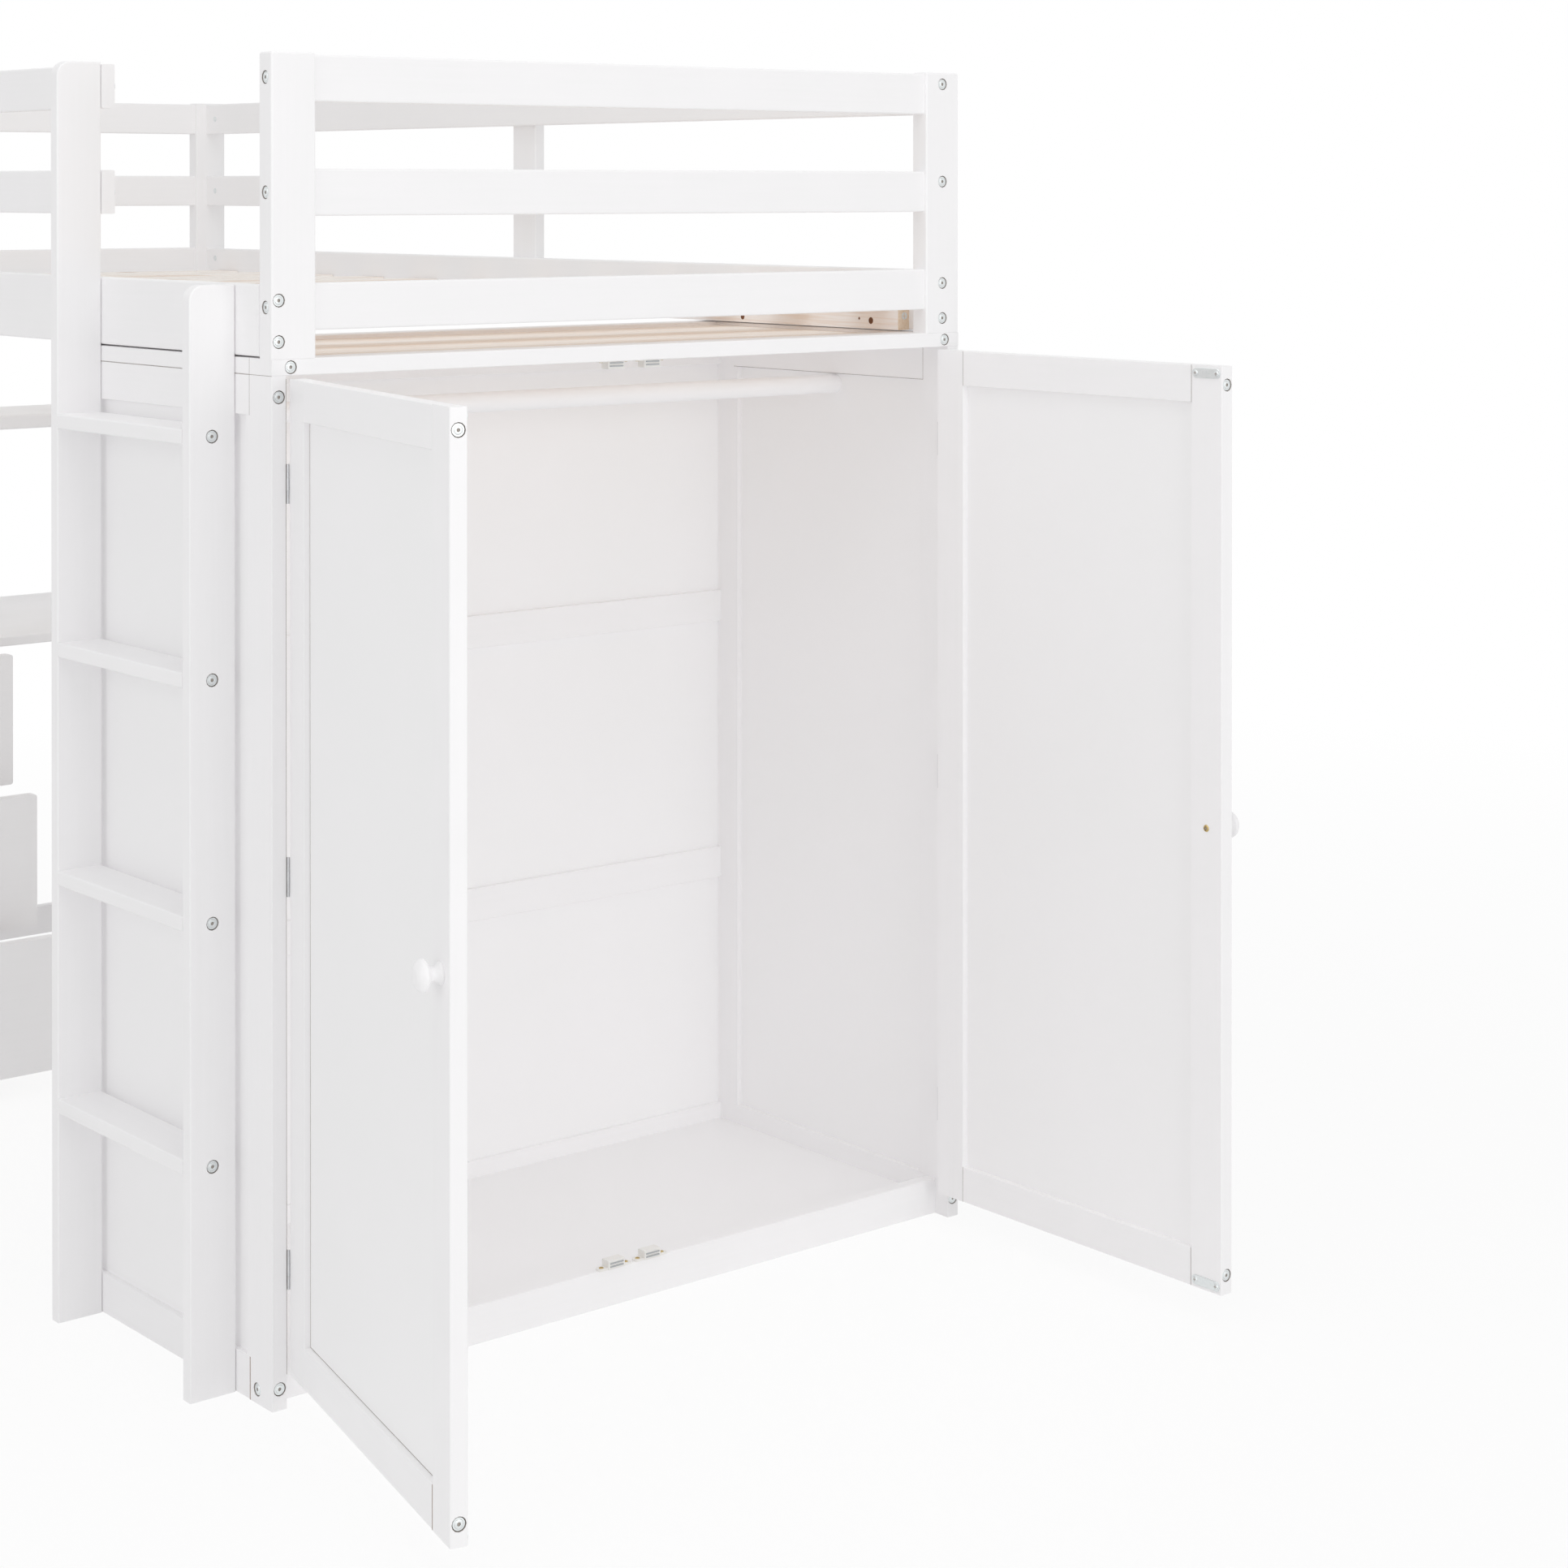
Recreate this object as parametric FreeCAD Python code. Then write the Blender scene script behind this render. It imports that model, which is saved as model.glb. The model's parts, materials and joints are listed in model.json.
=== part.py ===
import FreeCAD, Part
import math
import os
from FreeCAD import Vector

# A loft bed of painted pine. The bunk stands on a two-door wardrobe at its foot end and on
# two full-height posts at its head end. A ladder leans on the front, and a desk with three
# drawers and a shelf stands under the head end.
# Lengths are in millimetres. +X points to the foot end, +Y to the wall side and +Z up.
# The origin is on the floor, under the middle of the wardrobe's toe board.

# Overall size
bed_length = 2002.0
bed_width = 1058.0
bed_height = 1540.0

# Posts, rails and guards of the bunk
post_rise = 348.5
post_thickness = 28.0
post_width = 58.0
post_top_chamfer = 2.0
rail_thickness = 18.0
rail_height = 54.0
rails_per_end = 3
low_rail_gap = 31.5
rail_top_drop = 2.0
bed_rail_thickness = 19.0
bed_rail_height = 82.0
bed_rail_gap = 2.0
bar_round = 2.5
stretcher_height = 49.0
stretcher_rise = 69.0
stay_setback = 989.0
stay_width = 62.0
stay_thickness = 18.0

# Mattress support
batten_width = 20.0
batten_height = 29.0
batten_end_gap = 29.0
slat_count = 12
slat_width = 70.0
slat_thickness = 14.0
slat_side_gap = 2.0
slat_first = 110.0

# Ladder
stile_thickness = 18.0
stile_depth = 59.0
stile_top_round = 18.0
stile_edge_round = 2.0
ladder_gap = 0.5
ladder_foot_setback = 81.0
ladder_clear_width = 309.0
short_stile_drop = 1.0
long_stile_rise = 0.5
rung_count = 4
rung_thickness = 18.0
rung_first = 265.0
rung_top_drop = 173.4
rung_setback = 1.0

# Wardrobe frames
board_thickness = 19.0
board_ease = 0.8
frame_stile = 50.0
wardrobe_depth = 508.0
side_top_rail = 46.5
side_bottom_rail = 49.0
rail_lap = 8.0
panel_thickness = 5.0
back_rail_height = 45.0
back_panels = 3
tongue = 8.0
groove_slack = 1.0
top_board_thickness = 10.0
toe_setback = 25.0
toe_thickness = 19.0
toe_height = 46.0
floor_thickness = 12.0
floor_top = 22.0
rod_diameter = 26.0
rod_setback = 240.0
rod_drop = 2.0

# Wardrobe doors, drawn closed and then swung open by the angles of the stored pose
door_side_gap = 2.0
door_meeting_gap = 1.0
door_bottom = 39.0
door_top_gap = 3.5
door_stile = 50.0
door_rail = 46.0
door_panel_thickness = 4.0
left_door_angle = 102.8
right_door_angle = 90.2

# Sides of the small round prisms
disc_sides = 12

# Butt hinges
hinge_height = 45.0
hinge_leaf_width = 18.0
hinge_leaf = 0.9
hinge_knuckle_radius = 1.5
hinge_pin_radius = 0.7
hinge_pin_gap = 0.1
hinge_axis_out = 1.6
hinge_knuckle_gap = 0.3
hinge_end_inset = 119.0

# Knobs
knob_height = 565.0
knob_inset = 25.0
knob_base_radius = 11.5
knob_neck_radius = 7.5
knob_head_radius = 17.0
knob_projection = 30.0
knob_base_rim = 3.0
knob_neck_start = 6.0
knob_neck_end = 12.0
knob_dome_edge = 20.0
knob_rim = 2.0
knob_screw_radius = 6.0
knob_screw_height = 1.8

# Magnetic catches and their strike plates
strike_length = 45.0
strike_height = 12.0
strike_thickness = 1.5
strike_inset = 25.0
strike_edge = 9.5
catch_offset = 28.0
catch_width = 25.0
catch_ear_span = 50.0
catch_height = 11.0
catch_depth = 14.0
catch_ear_thickness = 2.5
catch_ear_round = 4.0
catch_gap = 0.3
pole_length = 20.0
pole_thickness = 1.4
pole_reach = 1.2
pole_spread = 4.0

# Bolts that draw the boards together
bolt_head_radius = 5.75
bolt_recess_radius = 8.0
bolt_recess_depth = 3.0
bolt_head_height = 3.0
proud_head_height = 2.0
bed_bolt_spread = 47.0
guard_bolt_rise = 13.5
stile_bolt_inset = 24.0
toe_bolt_height = 16.0

# Desk, pedestal and shelf
desk_depth = 459.0
desk_thickness = 15.0
desk_height = 672.0
desk_panel = 18.0
desk_panel_setback = 20.0
pedestal_width = 388.0
pedestal_side = 15.0
pedestal_back = 12.0
plinth_height = 31.0
plinth_setback = 20.0
shelf_depth = 203.0
shelf_thickness = 24.0
shelf_drop = 189.5
shelf_support_setback = 19.0

# Drawers, drawn closed and then pulled out by the lengths of the stored pose
drawer_front_thickness = 18.0
drawer_top_gap = 4.4
drawer_front_gap = 3.2
drawer_front_round = 4.5
drawer_front_side_gap = 1.0
drawer_side_gap = 3.0
drawer_wall = 12.0
drawer_top_drop = 39.0
drawer_bottom_lift = 24.0
drawer_bottom_thickness = 5.0
drawer_bottom_inset = 8.0
drawer_groove = 6.0
drawer_length = 400.0
runner_width = 14.0
runner_height = 16.0
top_drawer_pull = 60.0
middle_drawer_pull = 143.0
bottom_drawer_pull = 212.0

# Reference planes
foot_x = toe_setback + toe_thickness / 2
head_x = foot_x - bed_length
front_y = -bed_width / 2
back_y = bed_width / 2
wardrobe_top = bed_height - post_rise
side_height = wardrobe_top - board_thickness
ALONG_X = Vector(1, 0, 0)
ALONG_Y = Vector(0, 1, 0)
ALONG_Z = Vector(0, 0, 1)


def from_foot(near, far):
    """Span along X between two distances from the foot end."""
    return (foot_x - far, foot_x - near)


def from_head(near, far):
    """Span along X between two distances from the head end."""
    return (head_x + near, head_x + far)


def from_front(near, far):
    """Span along Y between two distances from the front face."""
    return (front_y + near, front_y + far)


def from_back(near, far):
    """Span along Y between two distances from the wall side."""
    return (back_y - far, back_y - near)


def middle(span):
    """Middle of a span."""
    return (span[0] + span[1]) / 2


def centred(centre, size):
    """Span of a size about a centre."""
    return (centre - size / 2, centre + size / 2)


def grown(span, amount):
    """Span that reaches further by an amount at both ends."""
    return (span[0] - amount, span[1] + amount)


def board(x, y, z):
    """Square-edged board that fills three spans."""
    size = (x[1] - x[0], y[1] - y[0], z[1] - z[0])
    return Part.makeBox(*size, Vector(x[0], y[0], z[0]))


def edges_along(solid, along):
    """Edges of a solid that run in a direction."""
    return [edge for edge in solid.Edges if abs(edge.tangentAt(0).dot(along)) > 0.9]


def bar(x, y, z, along, radius=bar_round):
    """Board whose four long edges are rounded over."""
    solid = board(x, y, z)
    return solid.makeFillet(radius, edges_along(solid, along))


def eased(x, y, z, along):
    """Board whose four long edges are sanded off, so that a joint shows as a fine line."""
    solid = board(x, y, z)
    return solid.makeChamfer(board_ease, edges_along(solid, along))


def round_edges(solid, radius, chosen):
    """Round over the edges whose middle point passes a test."""
    edges = [edge for edge in solid.Edges if chosen(edge.CenterOfMass)]
    return solid.makeFillet(radius, edges)


def save(name, solids):
    """Write one node, which may be a group of separate solids."""
    shape = solids[0] if len(solids) == 1 else Part.makeCompound(solids)
    shape.exportStep(os.path.join("parts", name + ".step"))


def disc(radius, height, base, direction):
    """Short round prism with a few sides, used for what repeats many times."""
    turn = FreeCAD.Rotation(ALONG_Z, direction)
    corners = []
    for index in range(disc_sides + 1):
        angle = 2 * math.pi * index / disc_sides
        corners.append(base + turn.multVec(Vector(radius * math.cos(angle), radius * math.sin(angle), 0)))
    return Part.Face(Part.makePolygon(corners)).extrude(direction * height)


def bolt_head(point, outward, recess=bolt_recess_depth, height=bolt_head_height):
    """Flat bolt head, seated at the bottom of its recess."""
    return disc(bolt_head_radius, height, point - outward * recess, outward)


def recessed(solid, points, outward):
    """Board with a flat-bottomed recess for a bolt head at each point."""
    for point in points:
        floor = point - outward * bolt_recess_depth
        solid = solid.cut(disc(bolt_recess_radius, bolt_recess_depth, floor, outward))
    return solid


def bolted(solid, points, outward, heads):
    """Cut the recesses for a row of bolts and add their heads to a list."""
    heads.extend(bolt_head(point, outward) for point in points)
    return recessed(solid, points, outward)


def knob(point):
    """Turned mushroom knob with a spherical dome, standing on a face towards +X."""
    def at(length, radius):
        return Vector(point.x + length, point.y + radius, point.z)

    dome_centre = ((knob_projection ** 2 - knob_dome_edge ** 2 - knob_head_radius ** 2)
                   / (2 * (knob_projection - knob_dome_edge)))
    dome_radius = knob_projection - dome_centre
    half_angle = math.atan2(knob_head_radius, knob_dome_edge - dome_centre) / 2
    dome_middle = at(dome_centre + dome_radius * math.cos(half_angle), dome_radius * math.sin(half_angle))
    rim_start = knob_dome_edge - knob_rim
    corners = [
        at(0, 0),
        at(0, knob_base_radius),
        at(knob_base_rim, knob_base_radius),
        at(knob_neck_start, knob_neck_radius),
        at(knob_neck_end, knob_neck_radius),
        at(rim_start, knob_head_radius),
        at(knob_dome_edge, knob_head_radius),
    ]
    edges = [Part.LineSegment(start, end) for start, end in zip(corners, corners[1:])]
    edges.append(Part.Arc(at(knob_dome_edge, knob_head_radius), dome_middle, at(knob_projection, 0)))
    edges.append(Part.LineSegment(at(knob_projection, 0), at(0, 0)))
    outline = Part.Wire([edge.toShape() for edge in edges])
    return Part.Face(outline).revolve(point, ALONG_X, 360)


# Heights of the three rails of each end, from the bottom up
top_rail_z = (bed_height - rail_top_drop - rail_height, bed_height - rail_top_drop)
low_rail_bottom = wardrobe_top + low_rail_gap
rail_pitch = (top_rail_z[0] - low_rail_bottom) / (rails_per_end - 1)
end_rail_z = []
for step in range(rails_per_end):
    bottom = low_rail_bottom + step * rail_pitch
    end_rail_z.append((bottom, bottom + rail_height))
bed_rail_z = (wardrobe_top + bed_rail_gap, wardrobe_top + bed_rail_gap + bed_rail_height)
bed_bolt_z = centred(middle(bed_rail_z), bed_bolt_spread)
front_post_y = from_front(0, post_width)
back_post_y = from_back(0, post_width)
between_posts_y = (front_post_y[1], back_post_y[0])
foot_post_x = from_foot(0, post_thickness)
head_post_x = from_head(0, post_thickness)
between_posts_x = (head_post_x[1], foot_post_x[0])
front_bed_rail_y = from_front(0, bed_rail_thickness)
front_guard_y = from_front(0, rail_thickness)
back_rail_y = centred(middle(back_post_y), rail_thickness)

frame_bolts = []


def post(x, y, z):
    """Upright post with rounded edges and a chamfered top."""
    solid = bar(x, y, z, ALONG_Z)
    rim = [edge for edge in solid.Edges if edge.BoundBox.ZMin > z[1] - 0.01]
    return solid.makeChamfer(post_top_chamfer, rim)


def bolted_post(x, y, bottom, outer_x):
    """Post with the bolts of its end rails, and of the side rails on its outer end face."""
    solid = post(x, y, (bottom, bed_height))
    is_front = y is front_post_y
    across = Vector(0, -1, 0) if is_front else ALONG_Y
    outer_y = y[0] if is_front else y[1]
    end_points = [Vector(middle(x), outer_y, middle(z)) for z in end_rail_z]
    solid = bolted(solid, end_points, across, frame_bolts)
    rail_y = middle(front_bed_rail_y) if is_front else middle(back_rail_y)
    heights = list(bed_bolt_z)
    if not is_front or outer_x == head_x:
        heights += [middle(z) + guard_bolt_rise for z in end_rail_z[1:]]
    outward = ALONG_X if outer_x == foot_x else Vector(-1, 0, 0)
    side_points = [Vector(outer_x, rail_y, height) for height in heights]
    return bolted(solid, side_points, outward, frame_bolts)


save("foot_post_front", [bolted_post(foot_post_x, front_post_y, wardrobe_top, foot_x)])
save("foot_post_back", [bolted_post(foot_post_x, back_post_y, wardrobe_top, foot_x)])
save("head_post_front", [bolted_post(head_post_x, front_post_y, 0.0, head_x)])
save("head_post_back", [bolted_post(head_post_x, back_post_y, 0.0, head_x)])

# Rails across the two ends, set back from the posts' faces
for name, post_x in (("foot_end_rails", foot_post_x), ("head_end_rails", head_post_x)):
    rail_x = centred(middle(post_x), rail_thickness)
    save(name, [bar(rail_x, between_posts_y, z, ALONG_Y) for z in end_rail_z])

stretcher_x = centred(middle(head_post_x), rail_thickness)
stretcher_z = (stretcher_rise, stretcher_rise + stretcher_height)
save("head_stretcher", [bar(stretcher_x, between_posts_y, stretcher_z, ALONG_Y)])

# Bed rails along the two sides, with the battens that carry the slats
save("bed_rail_front", [bar(between_posts_x, front_bed_rail_y, bed_rail_z, ALONG_X)])
save("bed_rail_back", [bar(between_posts_x, back_rail_y, bed_rail_z, ALONG_X)])
batten_x = grown(between_posts_x, -batten_end_gap)
batten_z = (bed_rail_z[0], bed_rail_z[0] + batten_height)
front_batten_y = (front_bed_rail_y[1], front_bed_rail_y[1] + batten_width)
back_batten_y = (back_rail_y[0] - batten_width, back_rail_y[0])
save("slat_battens", [board(batten_x, y, batten_z) for y in (front_batten_y, back_batten_y)])

slat_y = grown((front_bed_rail_y[1], back_rail_y[0]), -slat_side_gap)
slat_z = (batten_z[1], batten_z[1] + slat_thickness)
slat_pitch = (bed_length - 2 * slat_first) / (slat_count - 1)
slats = []
for index in range(slat_count):
    slat_x = centred(foot_x - slat_first - index * slat_pitch, slat_width)
    slats.append(board(slat_x, slat_y, slat_z))
save("slats", slats)

# Guards: the front pair stops at the ladder's long stile, the back pair runs post to post
long_stile_setback = ladder_foot_setback + stile_thickness + ladder_clear_width
front_guard_x = (between_posts_x[0], foot_x - long_stile_setback)
front_guards = []
for z in end_rail_z[1:]:
    front_guards.append(bar(front_guard_x, front_guard_y, z, ALONG_X))
    seat = Vector(front_guard_x[1] - stile_thickness / 2, front_guard_y[1], middle(z))
    frame_bolts.append(bolt_head(seat, ALONG_Y, 0.0, proud_head_height))
save("guard_rails_front", front_guards)
save("guard_rails_back", [bar(between_posts_x, back_rail_y, z, ALONG_X) for z in end_rail_z[1:]])

stay_x = centred(foot_x - stay_setback, stay_width)
stay_y = (back_rail_y[1], back_rail_y[1] + stay_thickness)
stay_z = (bed_rail_z[0], top_rail_z[1])
stay = bar(stay_x, stay_y, stay_z, ALONG_Z)
stay_points = [Vector(middle(stay_x), stay_y[1], middle(z)) for z in [bed_rail_z] + end_rail_z[1:]]
save("back_stay", [bolted(stay, stay_points, ALONG_Y, frame_bolts)])

# Ladder: two flat stiles with a rounded front shoulder, and flat rungs bolted between them
stile_y = (front_y - ladder_gap - stile_depth, front_y - ladder_gap)
short_stile_height = bed_rail_z[1] - short_stile_drop
long_stile_height = bed_height + long_stile_rise
rung_pitch = (short_stile_height - rung_top_drop - rung_first) / (rung_count - 1)
rung_heights = [rung_first + index * rung_pitch for index in range(rung_count)]
rung_y = (stile_y[0], stile_y[1] - rung_setback)


def ladder_stile(x, height, outward):
    """Stile cut to its outline, rounded over, and bolted to each rung from outside."""
    solid = board(x, stile_y, (0.0, height))
    front_shoulder = [edge for edge in solid.Edges
                      if edge.CenterOfMass.z > height - 0.01 and edge.CenterOfMass.y < stile_y[0] + 0.01]
    solid = solid.makeFillet(stile_top_round, front_shoulder)
    solid = round_edges(solid, stile_edge_round, lambda centre:
                        centre.z > 0.01 and min(abs(centre.x - x[0]), abs(centre.x - x[1])) < 0.01)
    outer_x = x[1] if outward.x > 0 else x[0]
    points = [Vector(outer_x, middle(rung_y), height) for height in rung_heights]
    return bolted(solid, points, outward, frame_bolts)


short_stile_x = from_foot(ladder_foot_setback, ladder_foot_setback + stile_thickness)
long_stile_x = from_foot(long_stile_setback, long_stile_setback + stile_thickness)
save("ladder_short_stile", [ladder_stile(short_stile_x, short_stile_height, ALONG_X)])
save("ladder_long_stile", [ladder_stile(long_stile_x, long_stile_height, Vector(-1, 0, 0))])
rung_x = (long_stile_x[1], short_stile_x[0])
rungs = []
for height in rung_heights:
    rungs.append(bar(rung_x, rung_y, centred(height, rung_thickness), ALONG_X))
save("ladder_rungs", rungs)

# Wardrobe sides and back: stiles and rails that hold thin panels in grooves.
# The side rails' ends are let into the stiles.
front_stile_x = from_foot(0, frame_stile)
rear_stile_x = from_foot(wardrobe_depth - frame_stile, wardrobe_depth)
side_opening_x = (rear_stile_x[1], front_stile_x[0])
front_upright_x = from_foot(0, frame_stile + rail_lap)
rear_upright_x = from_foot(wardrobe_depth - frame_stile - rail_lap, wardrobe_depth)
side_panel_x = (rear_upright_x[1], front_upright_x[0])
side_opening_z = (side_bottom_rail, side_height - side_top_rail)
side_rail_z = ((0.0, side_opening_z[0]), (side_opening_z[1], side_height))
side_y = {-1: from_front(0, board_thickness), 1: from_back(0, board_thickness)}
inside_y = (side_y[-1][1], side_y[1][0])
back_x = from_foot(wardrobe_depth - board_thickness, wardrobe_depth)
back_panel_x = centred(middle(back_x), panel_thickness)
back_opening = (side_height - (back_panels + 1) * back_rail_height) / back_panels
back_rail_z = []
for index in range(back_panels + 1):
    bottom = index * (back_rail_height + back_opening)
    back_rail_z.append((bottom, bottom + back_rail_height))
back_opening_z = [(low[1], high[0]) for low, high in zip(back_rail_z, back_rail_z[1:])]

wardrobe_stiles = []
wardrobe_side_rails = []
wardrobe_side_panels = []
back_grooves = []
for z in back_opening_z:
    back_grooves.append(board(back_panel_x, grown(inside_y, tongue + groove_slack),
                              grown(z, tongue + groove_slack)))
for side in (-1, 1):
    y = side_y[side]
    panel_y = centred(middle(y), panel_thickness)
    groove = board(grown(side_panel_x, tongue + groove_slack), panel_y,
                   grown(side_opening_z, tongue + groove_slack))
    front_stile = eased(front_upright_x, y, (0.0, side_height), ALONG_Z).cut(groove)
    bolt_z = (stile_bolt_inset, side_height - stile_bolt_inset)
    front_points = [Vector(foot_x, middle(y), z) for z in bolt_z]
    front_stile = bolted(front_stile, front_points, ALONG_X, frame_bolts)
    toe_point = Vector(foot_x - toe_setback - toe_thickness / 2, y[0] if side < 0 else y[1], toe_bolt_height)
    front_stile = bolted(front_stile, [toe_point], Vector(0, side, 0), frame_bolts)
    rear_stile = eased(rear_upright_x, y, (0.0, side_height), ALONG_Z).cut(groove)
    for back_groove in back_grooves:
        rear_stile = rear_stile.cut(back_groove)
    for z in side_rail_z:
        notch = board(side_opening_x, y, z)
        front_stile = front_stile.cut(notch)
        rear_stile = rear_stile.cut(notch)
        wardrobe_side_rails.append(eased(side_opening_x, y, z, ALONG_X).cut(groove))
    wardrobe_stiles += [front_stile, rear_stile]
    wardrobe_side_panels.append(board(grown(side_panel_x, tongue), panel_y, grown(side_opening_z, tongue)))
save("wardrobe_stiles", wardrobe_stiles)
save("wardrobe_side_rails", wardrobe_side_rails)
save("wardrobe_side_panels", wardrobe_side_panels)

wardrobe_back_rails = []
for z in back_rail_z:
    rail = eased(back_x, inside_y, z, ALONG_Y)
    for back_groove in back_grooves:
        rail = rail.cut(back_groove)
    wardrobe_back_rails.append(rail)
save("wardrobe_back_rails", wardrobe_back_rails)
save("wardrobe_back_panels", [board(back_panel_x, grown(inside_y, tongue), grown(z, tongue))
                              for z in back_opening_z])

# Wardrobe top: a flat frame that the foot posts stand on, round an unpainted board
top_z = (side_height, wardrobe_top)
top_opening_y = from_front(frame_stile, bed_width - frame_stile)
top_board_z = centred(middle(top_z), top_board_thickness)
top_groove = board(grown(side_opening_x, tongue + groove_slack),
                   grown(top_opening_y, tongue + groove_slack), top_board_z)
top_cross_rails = [eased(x, from_front(0, bed_width), top_z, ALONG_Y).cut(top_groove)
                   for x in (front_stile_x, rear_stile_x)]
top_bolt_y = from_front(frame_stile / 2, bed_width - frame_stile / 2)
top_points = [Vector(foot_x, y, middle(top_z)) for y in top_bolt_y]
top_cross_rails[0] = bolted(top_cross_rails[0], top_points, ALONG_X, frame_bolts)
save("top_cross_rails", top_cross_rails)
save("top_side_rails", [eased(side_opening_x, y, top_z, ALONG_X).cut(top_groove)
                        for y in (from_front(0, frame_stile), from_back(0, frame_stile))])
save("top_board", [board(grown(side_opening_x, tongue), grown(top_opening_y, tongue), top_board_z)])

# Toe board, floor and hanging rod
toe_x = from_foot(toe_setback, toe_setback + toe_thickness)
save("toe_board", [eased(toe_x, inside_y, (0.0, toe_height), ALONG_Y)])
save("floor_board", [board((back_x[1], toe_x[0]), inside_y, (floor_top - floor_thickness, floor_top))])
panel_face_y = grown(inside_y, (board_thickness - panel_thickness) / 2)
rod_z = side_opening_z[1] - rod_drop - rod_diameter / 2
rod_start = Vector(foot_x - rod_setback, panel_face_y[0], rod_z)
save("hanging_rod", [Part.makeCylinder(rod_diameter / 2, panel_face_y[1] - panel_face_y[0], rod_start, ALONG_Y)])

# Doors
door_z = (door_bottom, side_height - door_top_gap)
door_x = from_foot(0, board_thickness)
door_width = (inside_y[1] - inside_y[0] - 2 * door_side_gap - door_meeting_gap) / 2
hinge_axis_x = foot_x + hinge_axis_out
knob_z = door_bottom + knob_height
hinge_centres = (door_z[0] + hinge_end_inset, middle(door_z), door_z[1] - hinge_end_inset)
knuckle_height = hinge_height / 3


def obround(x, centre_y, centre_z, length, height):
    """Plate with round ends that fills a span along X."""
    half = length / 2 - height / 2
    plate = board(x, centred(centre_y, 2 * half), centred(centre_z, height))
    for y in (centre_y - half, centre_y + half):
        plate = plate.fuse(Part.makeCylinder(height / 2, x[1] - x[0], Vector(x[0], y, centre_z), ALONG_X))
    return plate.removeSplitter()


def hinge_leaf_solid(face_y, towards, axis_y, centre_z, knuckles):
    """Leaf that lies on a face, with straps to its knuckles round the pin's axis."""
    leaf_y = tuple(sorted((face_y, face_y + towards * hinge_leaf)))
    inner_x = hinge_axis_x - hinge_knuckle_radius - hinge_knuckle_gap
    leaf = board((foot_x - hinge_leaf_width, inner_x), leaf_y, centred(centre_z, hinge_height))
    for z in knuckles:
        strap = board((inner_x, hinge_axis_x), leaf_y, z)
        foot = Vector(hinge_axis_x, axis_y, z[0])
        barrel = disc(hinge_knuckle_radius, z[1] - z[0], foot, ALONG_Z)
        leaf = leaf.fuse(strap).fuse(barrel)
    return leaf.removeSplitter()


def hinge_pair(edge_y, inward, axis_y, centre_z):
    """Fixed leaf with its pin, and the door's leaf that turns on that pin."""
    low = centre_z - hinge_height / 2
    outer_knuckles = [(low, low + knuckle_height), (low + 2 * knuckle_height, low + hinge_height)]
    middle_knuckle = grown(centred(centre_z, knuckle_height), -hinge_knuckle_gap)
    pin_foot = Vector(hinge_axis_x, axis_y, low)
    pin = disc(hinge_pin_radius, hinge_height, pin_foot, ALONG_Z)
    bore = disc(hinge_pin_radius + hinge_pin_gap, hinge_height, pin_foot, ALONG_Z)
    fixed = hinge_leaf_solid(edge_y - inward * door_side_gap, inward, axis_y, centre_z, outer_knuckles)
    moving = hinge_leaf_solid(edge_y, -inward, axis_y, centre_z, [middle_knuckle])
    return fixed.fuse(pin).removeSplitter(), moving.cut(bore)


def make_door(name, side, angle):
    """Framed door with its panel, knob and fittings, hung on the side's front stile."""
    inward = -side
    edge_y = inside_y[0] + door_side_gap if side < 0 else inside_y[1] - door_side_gap
    axis_y = edge_y - inward * door_side_gap / 2

    def across(near, far):
        return tuple(sorted((edge_y + inward * near, edge_y + inward * far)))

    opening_y = across(door_stile, door_width - door_stile)
    opening_z = grown(door_z, -door_rail)
    panel_x = centred(middle(door_x), door_panel_thickness)
    groove = board(panel_x, grown(opening_y, tongue + groove_slack), grown(opening_z, tongue + groove_slack))
    hinge_stile = eased(door_x, across(0, door_stile), door_z, ALONG_Z).cut(groove)
    free_stile = eased(door_x, across(door_width - door_stile, door_width), door_z, ALONG_Z).cut(groove)
    bolts = []
    rail_heights = (door_z[0] + door_rail / 2, door_z[1] - door_rail / 2)
    free_points = [Vector(middle(door_x), edge_y + inward * door_width, z) for z in rail_heights]
    free_stile = bolted(free_stile, free_points, Vector(0, inward, 0), bolts)
    rails = [eased(door_x, opening_y, z, ALONG_Y).cut(groove)
             for z in ((door_z[0], opening_z[0]), (opening_z[1], door_z[1]))]
    panel = board(panel_x, grown(opening_y, tongue), grown(opening_z, tongue))

    knob_y = edge_y + inward * (door_width - knob_inset)
    screw_seat = Vector(door_x[0], knob_y, knob_z)
    screw = disc(knob_screw_radius, knob_screw_height, screw_seat, -ALONG_X)
    plate_x = (door_x[0] - strike_thickness, door_x[0])
    plate_y = edge_y + inward * (door_width - strike_inset)
    plates = [obround(plate_x, plate_y, z, strike_length, strike_height)
              for z in (door_z[0] + strike_edge, door_z[1] - strike_edge)]
    leaves = [hinge_pair(edge_y, inward, axis_y, z) for z in hinge_centres]

    moving_nodes = {
        name + "_stiles": [hinge_stile, free_stile],
        name + "_rails": rails,
        name + "_panel": [panel],
        name + "_knob": [knob(Vector(door_x[1], knob_y, knob_z))],
        name + "_fittings": plates + bolts + [screw],
        name + "_hinge_leaves": [moving for fixed, moving in leaves],
    }
    axis_foot = Vector(hinge_axis_x, axis_y, 0)
    for node, solids in moving_nodes.items():
        for solid in solids:
            solid.rotate(axis_foot, ALONG_Z, -inward * angle)
        save(node, solids)
    return [fixed for fixed, moving in leaves]


fixed_leaves = make_door("left_door", -1, left_door_angle)
fixed_leaves += make_door("right_door", 1, right_door_angle)
save("frame_hinge_leaves", fixed_leaves)

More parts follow.
